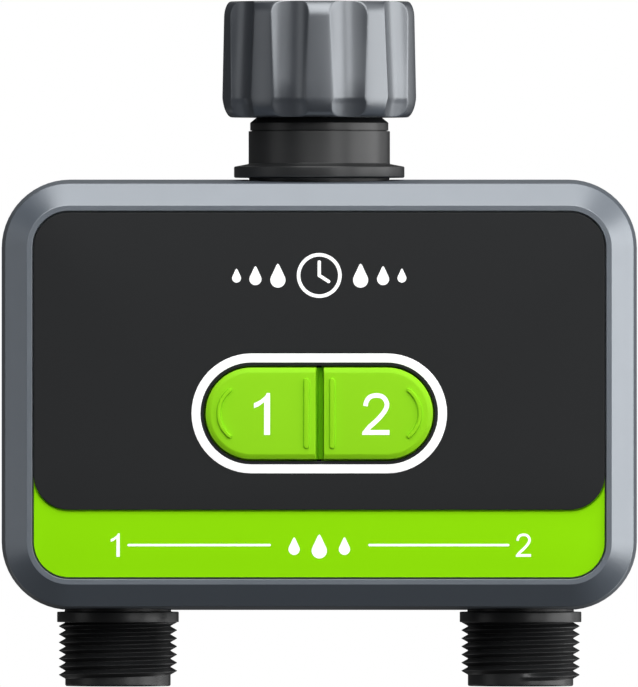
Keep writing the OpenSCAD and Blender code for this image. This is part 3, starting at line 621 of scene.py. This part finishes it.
def build_button(side, node, body, split):
    """One press button. split is the profile of its side at the middle: distance from the middle, and y."""
    foot = FLANGE_Y - 1
    flange = half_pill(side, -FLANGE_W, SPLIT_X)
    rings = [(flange, FLANGE_Y), (flange, foot), (half_pill(side, 0, SPLIT_X), foot)]
    edge = fillet([(0, foot), (0, BUTTON_Y + 0.6), (1.1, BUTTON_Y), (4, BUTTON_Y)], [0, 0.4, 1.0, 0])
    heights = sorted({round(p[1], 2) for p in edge[1:-1] + split[1:-1]}, reverse=True)
    rings += [(half_pill(side, across(edge, y), across(split, y)), y) for y in heights]
    bm = stack(rings)

    post = circle(3, side * BUTTON_X, PILL_Z, 48)
    loft(bm, [at_y(post, FLANGE_Y - 0.1), at_y(post, FLANGE_Y + 0.3)], caps=True)
    rib_height, bar_x, bar_length, bar_w = 0.5, 2.87, 14.5, 1.3
    bar = [(side * bar_x, PILL_Z - bar_length / 2 + bar_length * i / 8) for i in range(9)]
    ridge(bm, bar, bar_w, BUTTON_Y, rib_height)
    arc_x, arc_r, arc_w = 15.9, 6.5, 1.0
    arc = [(side * (arc_x + arc_r * math.cos(a)), PILL_Z + arc_r * math.sin(a)) for a in sweep(-52, 52, 30)]
    ridge(bm, arc, arc_w, BUTTON_Y, rib_height)
    piece("press_" + node, bm, body, "button_green", [node], sharp=40, merge=0)


def build_buttons():
    """The left button has a shelf that closes the gap between the two; the right one's side is plain."""
    shelf_x, shelf_y = -0.88, -26.7
    with_shelf = fillet(
        [(SPLIT_X, -25.5), (SPLIT_X, shelf_y + 0.1), (shelf_x, shelf_y),
         (shelf_x, shelf_y - 0.2), (0.2, -27.4), (0.55, -29.3), (0.86, BUTTON_Y), (4, BUTTON_Y)],
        [0, 0, 0, 0.05, 0.8, 1.5, 0.2, 0],
    )
    plain = fillet(
        [(SPLIT_X, -25.5), (1.0, -25.55), (1.0, BUTTON_Y + 0.3), (1.08, BUTTON_Y), (4, BUTTON_Y)],
        [0, 0, 0, 0.1, 0],
    )
    build_button(-1, "button_1", "button_a", with_shelf)
    build_button(1, "button_2", "button_b", plain)


# ---- Prints ----

PRINT_LIFT = 0.03
PRINT_ROOT = 0.02
# The digits' outlines are drawn at this height, and scaled from it.
DIGIT_H = 9.32


def smooth_line(points, steps=10):
    """A curve through the points."""
    pts = [Vector(points[0])] + [Vector(p) for p in points] + [Vector(points[-1])]
    out = []
    for p0, p1, p2, p3 in zip(pts, pts[1:], pts[2:], pts[3:]):
        for i in range(steps):
            t = i / steps
            bend = (2 * p0 - 5 * p1 + 4 * p2 - p3) * t * t + (3 * p1 - p0 - 3 * p2 + p3) * t ** 3
            out.append(tuple(0.5 * (2 * p1 + (p2 - p0) * t + bend)))
    return out + [tuple(pts[-1])]


def ink(bm, outline, y, lift=PRINT_LIFT):
    """A flat printed shape standing lift proud of the surface at y."""
    loft(bm, [at_y(outline, y + PRINT_ROOT), at_y(outline, y - lift)], caps=True)


def ink_line(bm, line, width, y):
    """A printed line with round ends."""
    ink(bm, stroke_outline(line, width / 2), y)


def ink_ribbon(bm, line, width, y):
    """A printed line with square ends."""
    top, root = y - PRINT_LIFT, y + PRINT_ROOT
    rings = []
    for (ax, az), (bx, bz) in zip(*line_sides(line, width / 2)):
        rings.append([(ax, top, az), (bx, top, bz), (bx, root, bz), (ax, root, az)])
    loft(bm, rings, caps=True)


def ink_one(bm, right, bottom, height, y):
    """The digit 1: a stem with a flag and no foot."""
    k = height / DIGIT_H
    flag = smooth_line([(-0.72, DIGIT_H), (-1.05, 8.72), (-1.7, 8.1), (-2.55, 7.5), (-3.6, 7.03)], 4)
    under = smooth_line([(-3.6, 5.95), (-2.5, 6.4), (-1.31, 7.3)], 4)
    outline = [(0, 0), (0, DIGIT_H)] + flag + under + [(-1.31, 0)]
    ink(bm, [(right + k * a, bottom + k * b) for a, b in outline], y)


def ink_two(bm, left, bottom, height, y):
    """The digit 2: a hook and a foot, which stands a hair higher so that their faces aren't in one plane."""
    k = height / DIGIT_H
    stroke = 1.04
    hook = smooth_line(
        [(0.78, 6.4), (0.95, 7.35), (1.73, 8.4), (3.2, 8.77), (4.7, 8.37), (5.52, 6.95), (5.1, 5.42),
         (3.55, 3.5), (1.6, 1.7), (0.68, 0.55)], 8)
    ink_ribbon(bm, [(left + k * a, bottom + k * b) for a, b in hook], stroke * k, y)
    foot = [(0, 0), (6.1, 0), (6.1, 1.08), (0.9, 1.08), (0.1, 0.8)]
    ink(bm, [(left + k * a, bottom + k * b) for a, b in foot], y, PRINT_LIFT + 0.002)


def drop_outline(x, z, r, n=28):
    """A water drop of body radius r, whose tip stands 2.15 r above its centre."""
    out = []
    for i in range(n):
        a = TAU * i / n
        tip = max(0.0, math.sin(a)) ** 5
        out.append((x + r * math.cos(a) * (1 - 0.25 * tip), z + r * (math.sin(a) + 1.15 * tip)))
    return out


def build_button_digits():
    """The 1 and the 2, which move with their buttons."""
    bottom = PILL_Z - 4.77
    bm = bmesh.new()
    ink_one(bm, -10.95, bottom, DIGIT_H, BUTTON_Y)
    piece("digit_one", bm, "button_a", "print_white", merge=0)
    bm = bmesh.new()
    ink_two(bm, 9.52, bottom, DIGIT_H, BUTTON_Y)
    piece("digit_two", bm, "button_b", "print_white", merge=0)


def build_band_marks():
    """On the green plate: the two zone numbers, a line from each, and three drops."""
    z, digit_h, line_w = -108.3, 5.2, 0.54
    bm = bmesh.new()
    ink_one(bm, -44.4, z - digit_h / 2, digit_h, PLATE_Y)
    ink_two(bm, 43.7, z - digit_h / 2, digit_h, PLATE_Y)
    for x0, x1 in ((-42.7, -10.8), (10.9, 42.3)):
        ink_line(bm, [(x0 + line_w / 2, z), ((x0 + x1) / 2, z), (x1 - line_w / 2, z)], line_w, PLATE_Y)
    for x, r in ((-5.6, 1.25), (0, 1.7), (5.6, 1.25)):
        ink(bm, drop_outline(x, z - 0.75 * r, r), PLATE_Y)
    piece("band_marks", bm, "body", "print_white", merge=0)


def build_panel_marks():
    """On the black panel: a clock between two rows of drops."""
    z, dial_r, dial_w, hand_w = -48.3, 5.0, 0.8, 0.75
    top = PANEL_Y - PRINT_LIFT
    outer, inner = circle(dial_r, 0, z, 64), circle(dial_r - dial_w, 0, z, 64)
    bm = hoop([(outer, PANEL_Y), (outer, top), (inner, top), (inner, PANEL_Y)])
    hour_hand = [(0, z), (1.1, z - 0.7), (2.1, z - 1.35)]
    minute_hand = [(0, z + 3.0), (0, z + 1.5), (0, z)]
    for hand in (minute_hand, hour_hand):
        ink_line(bm, hand, hand_w, PANEL_Y)
    for side in (-1, 1):
        for x, r in ((9.2, 1.7), (14.2, 1.35), (18.4, 1.0)):
            ink(bm, drop_outline(side * x, z - 0.6 * r, r), PANEL_Y)
    piece("panel_marks", bm, "body", "print_white", merge=0)


# ---- Threads and turned parts ----

# Half of one thread, from crest to root: share of the pitch from the crest, and share of the depth.
THREAD_FORM = [(0, 1), (0.01, 1), (0.035, 0.975), (0.06, 0.93), (0.25, 0.5), (0.44, 0.07), (0.465, 0.025),
               (0.49, 0), (0.5, 0)]


def helix(crest_z, crest_angle, start_z, taper=1.2):
    """Gives a function of angle and z for a right-hand thread's height, 0 to 1.

    The crest passes crest_z at crest_angle. The thread begins where its crest is at start_z, and grows over
    taper radians.
    """

    def height(a, z):
        turns = (z - crest_z) / PITCH - (a - crest_angle) / TAU
        off = abs(turns - round(turns))
        along = TAU * (round(turns) - (start_z - crest_z) / PITCH) + a - crest_angle
        keep = min(1.0, max(0.0, along / taper))
        for (o0, h0), (o1, h1) in zip(THREAD_FORM, THREAD_FORM[1:]):
            if off <= o1:
                return (h0 + (h1 - h0) * (off - o0) / (o1 - o0)) * keep * (2 - keep)
        return 0.0

    return height


def add_thread(bm, z0, z1, crest_z, crest_angle, angles, point):
    """A threaded surface from z0 to z1. Its mesh rows follow the crest, which keeps the crest clean."""
    offsets = [o for o, _ in THREAD_FORM[:-1]] + [1 - o for o, _ in reversed(THREAD_FORM[1:-1])]
    turn = list(angles) + [angles[0] + TAU]
    first, last = math.floor((z0 - crest_z) / PITCH) - 2, math.ceil((z1 - crest_z) / PITCH) + 2
    rows = []
    for k in range(first, last):
        for o in offsets:
            heights = [crest_z + PITCH * (k + o + (a - crest_angle) / TAU) for a in turn]
            heights = [min(z1, max(z0, z)) for z in heights]
            rows.append((heights, [bm.verts.new(point(a, z)) for a, z in zip(turn, heights)]))
    for (za, a), (zb, b) in zip(rows, rows[1:]):
        for i in range(len(angles)):
            face_z = (za[i], za[i + 1], zb[i], zb[i + 1])
            if max(face_z) > z0 and min(face_z) < z1:
                bm.faces.new((a[i], a[i + 1], b[i + 1], b[i]))


FLUTES = 10
FLUTE_R = 6.8
HALF_STEP = math.pi / FLUTES
# Where a ring of the nut has its points: 0 to 1 runs along a land, and 1 to 2 along half a flute.
FLUTE_SHARES = [0, 0.25, 0.5, 0.7, 0.84, 0.92, 0.965, 0.985, 1, 1.008, 1.02, 1.045, 1.09, 1.16, 1.27, 1.42,
                1.6, 1.8, 2]


def flute_axis(z):
    """Distance of a flute's own axis from the nut's axis. The flutes lean in, and more so at the foot."""
    at_mouth, lean, foot_lean, foot_z, ramp = 26.35, 0.052, 0.3, -8.2, 1.2
    below = max(0.0, foot_z - z)
    return at_mouth + (MOUTH_Z - z) * lean - foot_lean * below * min(1.0, below / ramp)


def fluted_ring(r, z):
    """The nut's outline where its lands have radius r: flutes scooped out, with softened edges."""
    away = flute_axis(z)
    edge = math.acos((r * r + away * away - FLUTE_R ** 2) / (2 * r * away))
    land = HALF_STEP - edge
    softness = 0.11
    ring = []
    for k in range(FLUTES):
        mid = math.radians(-90) + 2 * HALF_STEP * k
        for sign in (-1, 1):
            row = []
            for s in FLUTE_SHARES:
                phi = land * s if s <= 1 else land + edge * (s - 1)
                gap = HALF_STEP - phi
                chord = FLUTE_R ** 2 - (away * math.sin(gap)) ** 2
                scooped = away * math.cos(gap) - math.sqrt(chord) if chord > 0 else r + 9
                soft_r = min(r, scooped) - softness * math.log1p(math.exp(-abs(r - scooped) / softness))
                row.append((soft_r * math.cos(mid + sign * phi), soft_r * math.sin(mid + sign * phi), z))
            ring += row[:0:-1] if sign < 0 else row[:-1]
    return ring


def build_nut():
    """The fluted swivel nut: ten finger flutes outside, a right-hand thread inside."""
    # The side from the top edge down: a rounded shoulder, a tapered wall and a rounded foot.
    quarter = sweep(0, 90, 12)
    side = [(19.81 + 1.95 * math.sin(a), 9.3 + 3.7 * math.cos(a)) for a in quarter]
    side += [(21.76 + 0.24 * t, 9.3 - 17.7 * t) for t in (0.25, 0.5, 0.75)]
    side += [(19.6 + 2.4 * math.cos(a), -8.4 - 4.5 * math.sin(a)) for a in quarter]
    outside = [fluted_ring(r, z) for r, z in side]
    # A ring just inside the top edge keeps the flat top's shading flat.
    outside.insert(0, [(0.975 * x, 0.975 * y, z) for x, y, z in outside[0]])

    n = len(outside[0])
    turn = [math.radians(-90) + TAU * (i - (len(FLUTE_SHARES) - 1)) / n for i in range(n)]
    thread_bottom, thread_top, crest_z = 0.2, 12.5, 6.0
    thread_height = helix(crest_z, 0, start_z=1.2)

    def on_thread(a, z):
        r = THREAD_R - (THREAD_R - THREAD_ROOT_R) * thread_height(a, z)
        return r * math.cos(a), r * math.sin(a), z

    def round_rings(profile):
        return [[(r * math.cos(a), r * math.sin(a), z) for a in turn] for r, z in profile]

    mouth = [(13.4, 12.9), (13.75, MOUTH_Z)]
    foot = [(19.0, NUT_BOTTOM_Z), (18.2, NUT_BOTTOM_Z), (18.2, 8.0), (15.6, 8.0), (15.6, NUT_BOTTOM_Z)]
    bore = [(10.6, NUT_BOTTOM_Z), (10.48, NUT_BOTTOM_Z + 0.12), (10.48, -6.3), (10.6, -6.2), (12.2, -6.2),
            (12.3, -6.1), (12.3, -0.1), (THREAD_R, thread_bottom)]
    bm = bmesh.new()
    top_ring = [on_thread(a, thread_top) for a in turn]
    loft(bm, [top_ring] + round_rings(mouth) + outside + round_rings(foot + bore))
    add_thread(bm, thread_bottom, thread_top, crest_z, 0, turn, on_thread)
    piece("nut_fluted", bm, "nut", "nut_grey", ["inlet_nut"], sharp=50)


def build_collar():
    """The lock ring, and the black collar that goes on down to the pipe with a branch to each valve."""
    neck_r, pipe_r, bore_r, collar_top = 10.42, 10.5, 7.5, -15.98
    bm = bmesh.new()
    turned(bm, fillet(
        [(neck_r, -15.97), (15.1, -15.97), (15.1, -15.85), (15.45, -15.85), (15.45, -14.1), (14.05, -12.98),
         (neck_r, -12.98)],
        [0, 0, 0, 0.08, 0.3, 0.25, 0]), 160, loop=True)
    piece("collar_lock_ring", bm, "body", "port_black", ["stem_lock_ring"])

    bm = bmesh.new()
    turned(bm, fillet(
        [(neck_r, collar_top), (15.8, collar_top), (15.8, -23.3), (19.05, -23.92), (19.05, -26.4),
         (15.7, -26.4), (15.7, -30.4), (12.4, -32.6), (12.4, -33.0), (pipe_r, -35.0), (pipe_r, -116.0),
         (bore_r, -116.0), (bore_r, -32.1), (neck_r, -32.1)],
        [0, 0.12, 0.2, 0.3, 0.35, 0.2, 0.3, 0.2, 0.3, 0.3, 0.6, 0.3, 0, 0]), 160, loop=True)
    branch = [(4.2, 8.5), (6.5, 9.2), (6.5, 29.9), (4.2, 29.9)]
    for side in (-1, 1):
        turned_along_x(bm, [(r, side * x) for r, x in branch], 64, 0, HEADER_Z)
    piece("collar_and_tee", bm, "body", "port_black", ["manifold"])


def build_outlet(zone, x, crest_angle):
    """Valve body with a true helical outlet thread."""
    bottom, top, crest_z, bore_r, segments = -139.2, -125.7, -126.62, 8, 160
    angles = [TAU * i / segments for i in range(segments)]
    thread_height = helix(crest_z, crest_angle, start_z=-137.96)

    def on_thread(a, z):
        r = THREAD_ROOT_R + (THREAD_R - THREAD_ROOT_R) * thread_height(a, z)
        return x + r * math.cos(a), r * math.sin(a), z

    tip = fillet(
        [(bore_r, -100), (bore_r, OUTLET_TIP_Z), (THREAD_ROOT_R, OUTLET_TIP_Z), (THREAD_ROOT_R, bottom)],
        [0, 0.5, 0.5, 0])
    flange_and_chamber = fillet(
        [(13.3, top), (13.6, top), (13.6, -123.4), (11.9, -123.4), (11.9, -117.0), (14.6, -117.0),
         (14.6, -99.0), (12.3, -99.0), (12.3, -114.5), (10.0, -114.5), (10.0, -104.0), (bore_r, -104.0)],
        [0, 0.12, 0.15, 0.2, 0, 0.4, 0.2, 0.2, 0.3, 0.3, 0.3, 0], 4)
    bm = bmesh.new()
    rings = [[on_thread(a, top) for a in angles]]
    for r, z in flange_and_chamber + tip:
        rings.append([(x + r * math.cos(a), r * math.sin(a), z) for a in angles])
    loft(bm, rings)
    add_thread(bm, bottom, top, crest_z, crest_angle, angles, on_thread)

    inward = -1 if x > 0 else 1
    socket = [(6.54, 14.8), (8.8, 13.1), (8.8, 21.1), (6.54, 21.1)]
    turned_along_x(bm, [(r, x + inward * reach) for r, reach in socket], 64, 0, HEADER_Z)
    ear_circle_r = 17.3
    for degrees in (60, 120, 240, 300):
        a = math.radians(degrees)
        turned(bm, [(1.0, -104), (3.2, -104), (3.2, -99), (1.0, -99)], 32, x + ear_circle_r * math.cos(a),
               ear_circle_r * math.sin(a), loop=True)
    piece(f"outlet_{zone}", bm, "body", "port_black", [f"valve_body_{zone}"], sharp=48)


# ---- Battery cover and cells ----


def cover_knuckle(side):
    """One barrel of the cover's hinge."""
    knuckle = bmesh.new()
    barrel = [(1.3, 21), (2.3, 21), (HINGE_R, 21.3), (HINGE_R, 27.7), (2.3, 28), (1.3, 28)]
    turned_along_x(knuckle, [(r, side * x) for r, x in barrel], 48, HINGE_Y, HINGE_Z)
    return knuckle


def cover_web(side, y0, y1):
    """The web that joins a hinge barrel to the cover, whose faces are at y0 and y1."""
    bottom, top = HINGE_Z + 1.9, HINGE_Z + 4.2
    corners = [(HINGE_Y - 0.9, bottom), (y1 - 0.1, bottom), (y1 - 0.1, top), (y0 + 0.4, top)]
    web = bmesh.new()
    loft(web, [[(side * x, y, z) for y, z in corners] for x in (21.3, 27.7)], caps=True)
    return web


def build_cover():
    """The battery cover: a plate with a shallow dish, grip bars, two slits, a skirt and hinge barrels."""
    mid, height = (COVER_TOP + COVER_BOTTOM) / 2, COVER_TOP - COVER_BOTTOM
    y0, y1 = BACK_Y + 0.1, BACK_Y + 2.3
    edge = 0.8

    def outline(inset):
        return rounded_rect(COVER_W - 2 * inset, height - 2 * inset, 4 - inset, z=mid)

    rings = [(outline(0.25), y0), (outline(0), y0 + 0.25)]
    rings += [(outline(edge * (1 - math.cos(a))), y1 - edge * (1 - math.sin(a))) for a in sweep(0, 90, 6)]
    obj = solid("cover_back", stack(rings))
    dish_floor = rounded_rect(COVER_W - 9, height - 22, 3, z=mid - 5)
    dish_rim = rounded_rect(COVER_W - 8, height - 21, 3.5, z=mid - 5)
    cut(obj, stack([(dish_floor, y1 - 0.5), (dish_rim, y1 + 0.1)]))
    for side in (-1, 1):
        slit = rounded_rect(1.2, 14, 0.6, side * 12, COVER_TOP - 7.4)
        # The slit's upper end moves up, past the cover's edge.
        slit = [(x, z + (3 if z > COVER_TOP - 7 else 0)) for x, z in slit]
        cut(obj, stack([(slit, y0 - 2), (slit, y1 + 2)]))
    outer, inner, skirt_y = bay_outline(-1, 1), bay_outline(-3.4, 0.6), BACK_Y - 0.7
    skirt = hoop([(outer, y0 + 0.2), (outer, skirt_y), (inner, skirt_y), (inner, y0 + 0.2)])
    cut(obj, skirt, "UNION")
    for below_top in (4.0, 6.0, 8.0):
        bar = rounded_rect(18, 1.0, 0.5, z=COVER_TOP - below_top, n=6)
        tip = rounded_rect(17.4, 0.4, 0.2, z=COVER_TOP - below_top, n=6)
        cut(obj, stack([(bar, y1 - 0.2), (bar, y1 + 0.5), (tip, y1 + 0.8)]), "UNION")
    for side in (-1, 1):
        cut(obj, cover_knuckle(side), "UNION")
        cut(obj, cover_web(side, y0, y1), "UNION")
    dress(obj, "cover", "cover_black", ["battery_cover"])


def cell_places():
    """Each cell's x and its direction: 1 where the raised cap is up, -1 where it is down."""
    for k in range(CELL_COUNT):
        yield (k - (CELL_COUNT - 1) / 2) * CELL_STEP, 1 if k % 2 == 0 else -1


def build_cells():
    """Cells with a wrapped body, bare ends and a raised positive cap."""
    wrap = fillet([(5.4, -24.9), (7.15, -24.9), (7.15, 23.8), (5.4, 23.8)], [0, 0.7, 0.7, 0])
    base = fillet([(0.01, -25), (5.5, -25), (5.5, -24.8)], [0, 0.2, 0])
    cap = fillet([(5.5, 23.7), (2.9, 23.9), (2.7, 25), (0.01, 25)], [0, 0.3, 0.4, 0])
    wraps, ends = bmesh.new(), bmesh.new()
    for x, up in cell_places():
        mid = BAY_MID + up * CELL_SHIFT
        for bm, profile, segments in ((wraps, wrap, 64), (ends, base, 48), (ends, cap, 48)):
            turned(bm, [(r, mid + up * h) for r, h in profile], segments, x, CELL_Y)
    piece("cell_wraps", wraps, "body", "cell_wrap", ["batteries"])
    piece("cell_ends", ends, "body", "magnet_nickel")


def coil(bm, x, y, z0, z1, r0, r1, turns, wire, flip=1, sides=10, steps=36):
    """A round wire of radius wire, wound from z0 to z1 and coned from radius r0 to r1."""
    n = int(turns * steps)
    rings = []
    for i in range(n + 1):
        t = i / n
        a, r = TAU * i / steps, r0 + (r1 - r0) * t
        centre = Vector((x, y, z0 + flip * wire + (z1 - z0 - 2 * flip * wire) * t))
        out = Vector((math.cos(a), math.sin(a), 0))
        rings.append([centre + out * (r + u) + Vector((0, 0, v)) for u, v in circle(wire, n=sides)])
    loft(bm, rings, caps=True)


def build_cell_springs():
    """A coned spring at each cell's flat end."""
    bm = bmesh.new()
    for x, up in cell_places():
        cell_end = BAY_MID - up * (CELL_LENGTH / 2 - CELL_SHIFT + 0.02)
        bay_end = BAY_MID - up * (BAY_H / 2 - CONTACT_T)
        coil(bm, x, CELL_Y, cell_end, bay_end, 2.6, 5, 3, 0.4, -up)
    piece("cell_springs", bm, "body", "spring_steel", ["contact_springs"], sharp=60, merge=0)


# ---- Valve springs and keypad ----

# CAD node, joint, lowest and highest z, radius, turns, wire radius, and how far the part below rises
VALVE_SPRINGS = [
    ("disc_spring", "disc", -99.9, -92.55, 6.6, 4, 0.4, 2.5),
    ("plunger_spring", "plunger", -85.98, -76.52, 1.9, 5, 0.3, 3.0),
]


def build_valve_springs():
    """The springs over each valve's disc and plunger."""
    for zone, x in ((1, -PORT_X), (2, PORT_X)):
        for name, joint, bottom, top, r, turns, wire, travel in VALVE_SPRINGS:
            bm = bmesh.new()
            coil(bm, x, 0, bottom, top, r, r, turns, wire)
            node = f"{name}_{zone}"
            obj = piece("wound_" + node, bm, "body", "spring_steel", [node], sharp=60, merge=0)
            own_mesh(obj)


def build_keypad():
    """The rubber sheet behind the buttons, and its two domes."""
    front, back, dome_y, dome_r = -23.28, -22.4, -24.15, 7.2
    sheet = solid("keypad_sheet", stack([(pill_outline(4.4), front), (pill_outline(4.4), back)]))
    for x in (-BUTTON_X, BUTTON_X):
        cut(sheet, rod_y(dome_r, x, PILL_Z, front - 1, back + 1, 64))
        cut(sheet, rod_y(2, x, PILL_Z, dome_y + 1.02, SWITCH_TOP_Y - 0.04), "UNION")
    dress(sheet, "body", "seal_rubber", ["keypad_seal"])
    profile = [(4, dome_y), (dome_r, front), (dome_r, back), (6.6, back), (3.5, dome_y + 0.8)]
    for x, button in ((-BUTTON_X, 1), (BUTTON_X, 2)):
        bm = stack([(circle(r, x, PILL_Z, 64), y) for r, y in profile])
        dome = piece(f"keypad_dome_{button}", bm, "body", "seal_rubber")
        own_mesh(dome)


# ---- Inlet washer and strainer ----

DOME_R, DOME_DEPTH, DOME_Z = 6.5, 6.8, -0.5
STRAND_R = 0.13


def on_dome(a, e):
    """A point of the strainer's dome at an angle round the axis and an elevation below its rim."""
    r = DOME_R * math.cos(e)
    return Vector((r * math.cos(a), r * math.sin(a), DOME_Z - DOME_DEPTH * math.sin(e)))


def add_strand(bm, path, closed):
    """One wire of the strainer along a path of points."""
    rings = []
    for i, p in enumerate(path):
        after = path[(i + 1) % len(path)] if closed or i + 1 < len(path) else path[i]
        before = path[i - 1] if closed or i > 0 else path[i]
        out = (p - Vector((0, 0, DOME_Z))).normalized()
        side = (after - before).normalized().cross(out).normalized()
        rings.append([p + out * a + side * b for a, b in circle(STRAND_R, n=5)])
    loft(bm, rings, loop=closed)


def build_filter():
    """The rubber washer and the woven strainer that hangs in it."""
    bm = bmesh.new()
    turned(bm, fillet([(8, -3), (11.9, -3), (11.9, 0), (8, 0)], [0, 0.4, 0.4, 0]), 96, loop=True)
    piece("washer_ring", bm, "filter", "washer_rubber", ["inlet_washer"])

    bm = bmesh.new()
    turned(bm, [(DOME_R, -0.9), (7.98, -0.9), (7.98, -0.1), (DOME_R, -0.1)], 72, loop=True)
    meridians = 48
    for i in range(meridians):
        # Every fourth wire runs nearly to the pole, and the ones between stop short.
        reach = 1.5 if i % 4 == 0 else (1.25 if i % 2 == 0 else 0.95)
        add_strand(bm, [on_dome(TAU * i / meridians, reach * j / 12) for j in range(13)], False)
    for j in range(1, 13):
        add_strand(bm, [on_dome(TAU * i / 48, math.radians(7 * j)) for i in range(48)], True)
    piece("strainer", bm, "filter", "filter_steel", ["filter_screen"], sharp=60, merge=0)


# ---- Stage, light and camera ----

scene = bpy.context.scene
AIM = Vector((0, 0, -70 * MM))
LIGHT_DISTANCE = 2.0
WHITE = (1, 1, 1, 1)
AMBIENT = 0.056
FLOOR_Z, FLOOR_SIZE = -140.1 * MM, 4
# The frame is upright, so Blender takes the sensor's size for its height.
CAMERA_LENS, SENSOR_SIZE = 1500, 36
VIEW_HEIGHT = 153.235 * MM
VIEW_X, VIEW_Y, VIEW_Z = -0.056 * MM, -14 * MM, -63.44 * MM

# name, azimuth and elevation in degrees, width and height in metres, power in watts
LIGHTS = [
    ("light_right_front", 30, 8, (0.8, 1.3), 6.6),
    ("light_right", 66, 5, (1.1, 1.6), 15.0),
    ("light_right_side", 98, 6, (1.1, 1.5), 14.5),
    ("light_right_back", 130, 8, (0.9, 1.3), 2.3),
    ("light_right_low", 125, -30, (1.4, 1.0), 8.0),
    ("light_right_high", 75, 45, (2.0, 1.2), 4.5),
    ("light_front_high", 0, 42, (2.2, 1.7), 38.0),
    ("light_top", 0, 78, (1.6, 0.9), 9.6),
    ("light_back_high", 180, 50, (1.8, 1.2), 6.0),
    ("light_left", -72, 5, (0.9, 1.5), 1.9),
    ("light_left_low", -130, -30, (1.2, 1.0), 2.5),
    ("light_front", 0, 10, (1.0, 0.8), 0.3),
]


def build_world():
    """White where the camera sees it, and almost dark for the part, which is lit by the soft lights."""
    world = bpy.data.worlds.new("studio")
    scene.world = world
    world.use_nodes = True
    nodes, links = world.node_tree.nodes, world.node_tree.links
    seen = nodes["Background"]
    unseen = nodes.new("ShaderNodeBackground")
    mix = nodes.new("ShaderNodeMixShader")
    set_inputs(seen, {"Color": WHITE})
    set_inputs(unseen, {"Color": WHITE, "Strength": AMBIENT})
    links.new(nodes.new("ShaderNodeLightPath").outputs["Is Camera Ray"], mix.inputs["Fac"])
    links.new(unseen.outputs["Background"], mix.inputs[1])
    links.new(seen.outputs["Background"], mix.inputs[2])
    links.new(mix.outputs["Shader"], nodes["World Output"].inputs["Surface"])


def floor_material():
    """Pale and matt, fading to white where it is seen almost edge on."""
    mat = bpy.data.materials.new("floor_pale")
    mat.use_nodes = True
    nodes, links = mat.node_tree.nodes, mat.node_tree.links
    pale = nodes["Principled BSDF"]
    glow = nodes.new("ShaderNodeEmission")
    mix = nodes.new("ShaderNodeMixShader")
    facing = nodes.new("ShaderNodeLayerWeight")
    steep = nodes.new("ShaderNodeMapRange")
    set_inputs(pale, {"Base Color": (0.9, 0.9, 0.9, 1), "Roughness": 0.9, "Specular IOR Level": 0.0})
    set_inputs(glow, {"Color": WHITE})
    set_inputs(steep, {"From Min": 0.8, "From Max": 0.97})
    links.new(facing.outputs["Facing"], steep.inputs["Value"])
    links.new(steep.outputs["Result"], mix.inputs["Fac"])
    links.new(pale.outputs["BSDF"], mix.inputs[1])
    links.new(glow.outputs["Emission"], mix.inputs[2])
    links.new(mix.outputs["Shader"], nodes["Material Output"].inputs["Surface"])
    return mat


def build_floor():
    """A floor that only the camera sees, so that no light bounces off it to the part's underside."""
    mesh = bpy.data.meshes.new("floor")
    corners = [(-1, -1), (1, -1), (1, 1), (-1, 1)]
    mesh.from_pydata([(FLOOR_SIZE * x, FLOOR_SIZE * y, FLOOR_Z) for x, y in corners], [], [(0, 1, 2, 3)])
    mesh.materials.append(floor_material())
    floor = bpy.data.objects.new("floor", mesh)
    floor.visible_diffuse = False
    floor.visible_glossy = False
    floor.visible_shadow = False
    scene.collection.objects.link(floor)


def toward(azimuth, elevation, distance):
    """A point seen from the part at this azimuth (0 is the camera's side, 90 the right) and elevation."""
    az, el = math.radians(azimuth), math.radians(elevation)
    return AIM + distance * Vector((math.sin(az) * math.cos(el), -math.cos(az) * math.cos(el), math.sin(el)))


def build_lights():
    """Soft rectangular lights round the part, all pointing at it."""
    for name, azimuth, elevation, (width, height), power in LIGHTS:
        light = bpy.data.lights.new(name, "AREA")
        light.shape = "RECTANGLE"
        light.size = width
        light.size_y = height
        light.energy = power
        obj = bpy.data.objects.new(name, light)
        scene.collection.objects.link(obj)
        obj.location = toward(azimuth, elevation, LIGHT_DISTANCE)
        obj.rotation_euler = (AIM - obj.location).to_track_quat("-Z", "Y").to_euler()
        obj.visible_camera = False


def build_camera():
    """A long lens, set so that the part fills the frame as seen straight from the front."""
    camera = bpy.data.cameras.new("camera")
    camera.lens = CAMERA_LENS
    camera.sensor_width = SENSOR_SIZE
    distance = VIEW_HEIGHT / 2 / math.tan(math.atan(SENSOR_SIZE / 2 / CAMERA_LENS))
    camera.clip_start = 0.1
    camera.clip_end = distance + 20
    obj = bpy.data.objects.new("camera", camera)
    scene.collection.objects.link(obj)
    obj.location = (VIEW_X, VIEW_Y - distance, VIEW_Z)
    obj.rotation_euler = (math.radians(90), 0, 0)
    scene.camera = obj


# ---- Build ----

build_front_housing()
build_rear_housing()
build_fascia()
build_buttons()
build_button_digits()
build_band_marks()
build_panel_marks()
build_nut()
build_collar()
# The two outlets' threads start half a turn apart.
build_outlet(1, -PORT_X, crest_angle=math.pi)
build_outlet(2, PORT_X, crest_angle=0.0)
build_cover()
build_cells()
build_cell_springs()
build_valve_springs()
build_keypad()
build_filter()

# The CAD nodes that still show take the same finishes as the built pieces.
slots = {row["node"]: row["material_slot"] for row in frame["record"]["subparts"]}
for node, obj in frame["nodes"].items():
    obj.data.materials.clear()
    obj.data.materials.append(material(slots[node]))

scene.view_settings.view_transform = "Standard"
build_world()
build_floor()
build_lights()
build_camera()
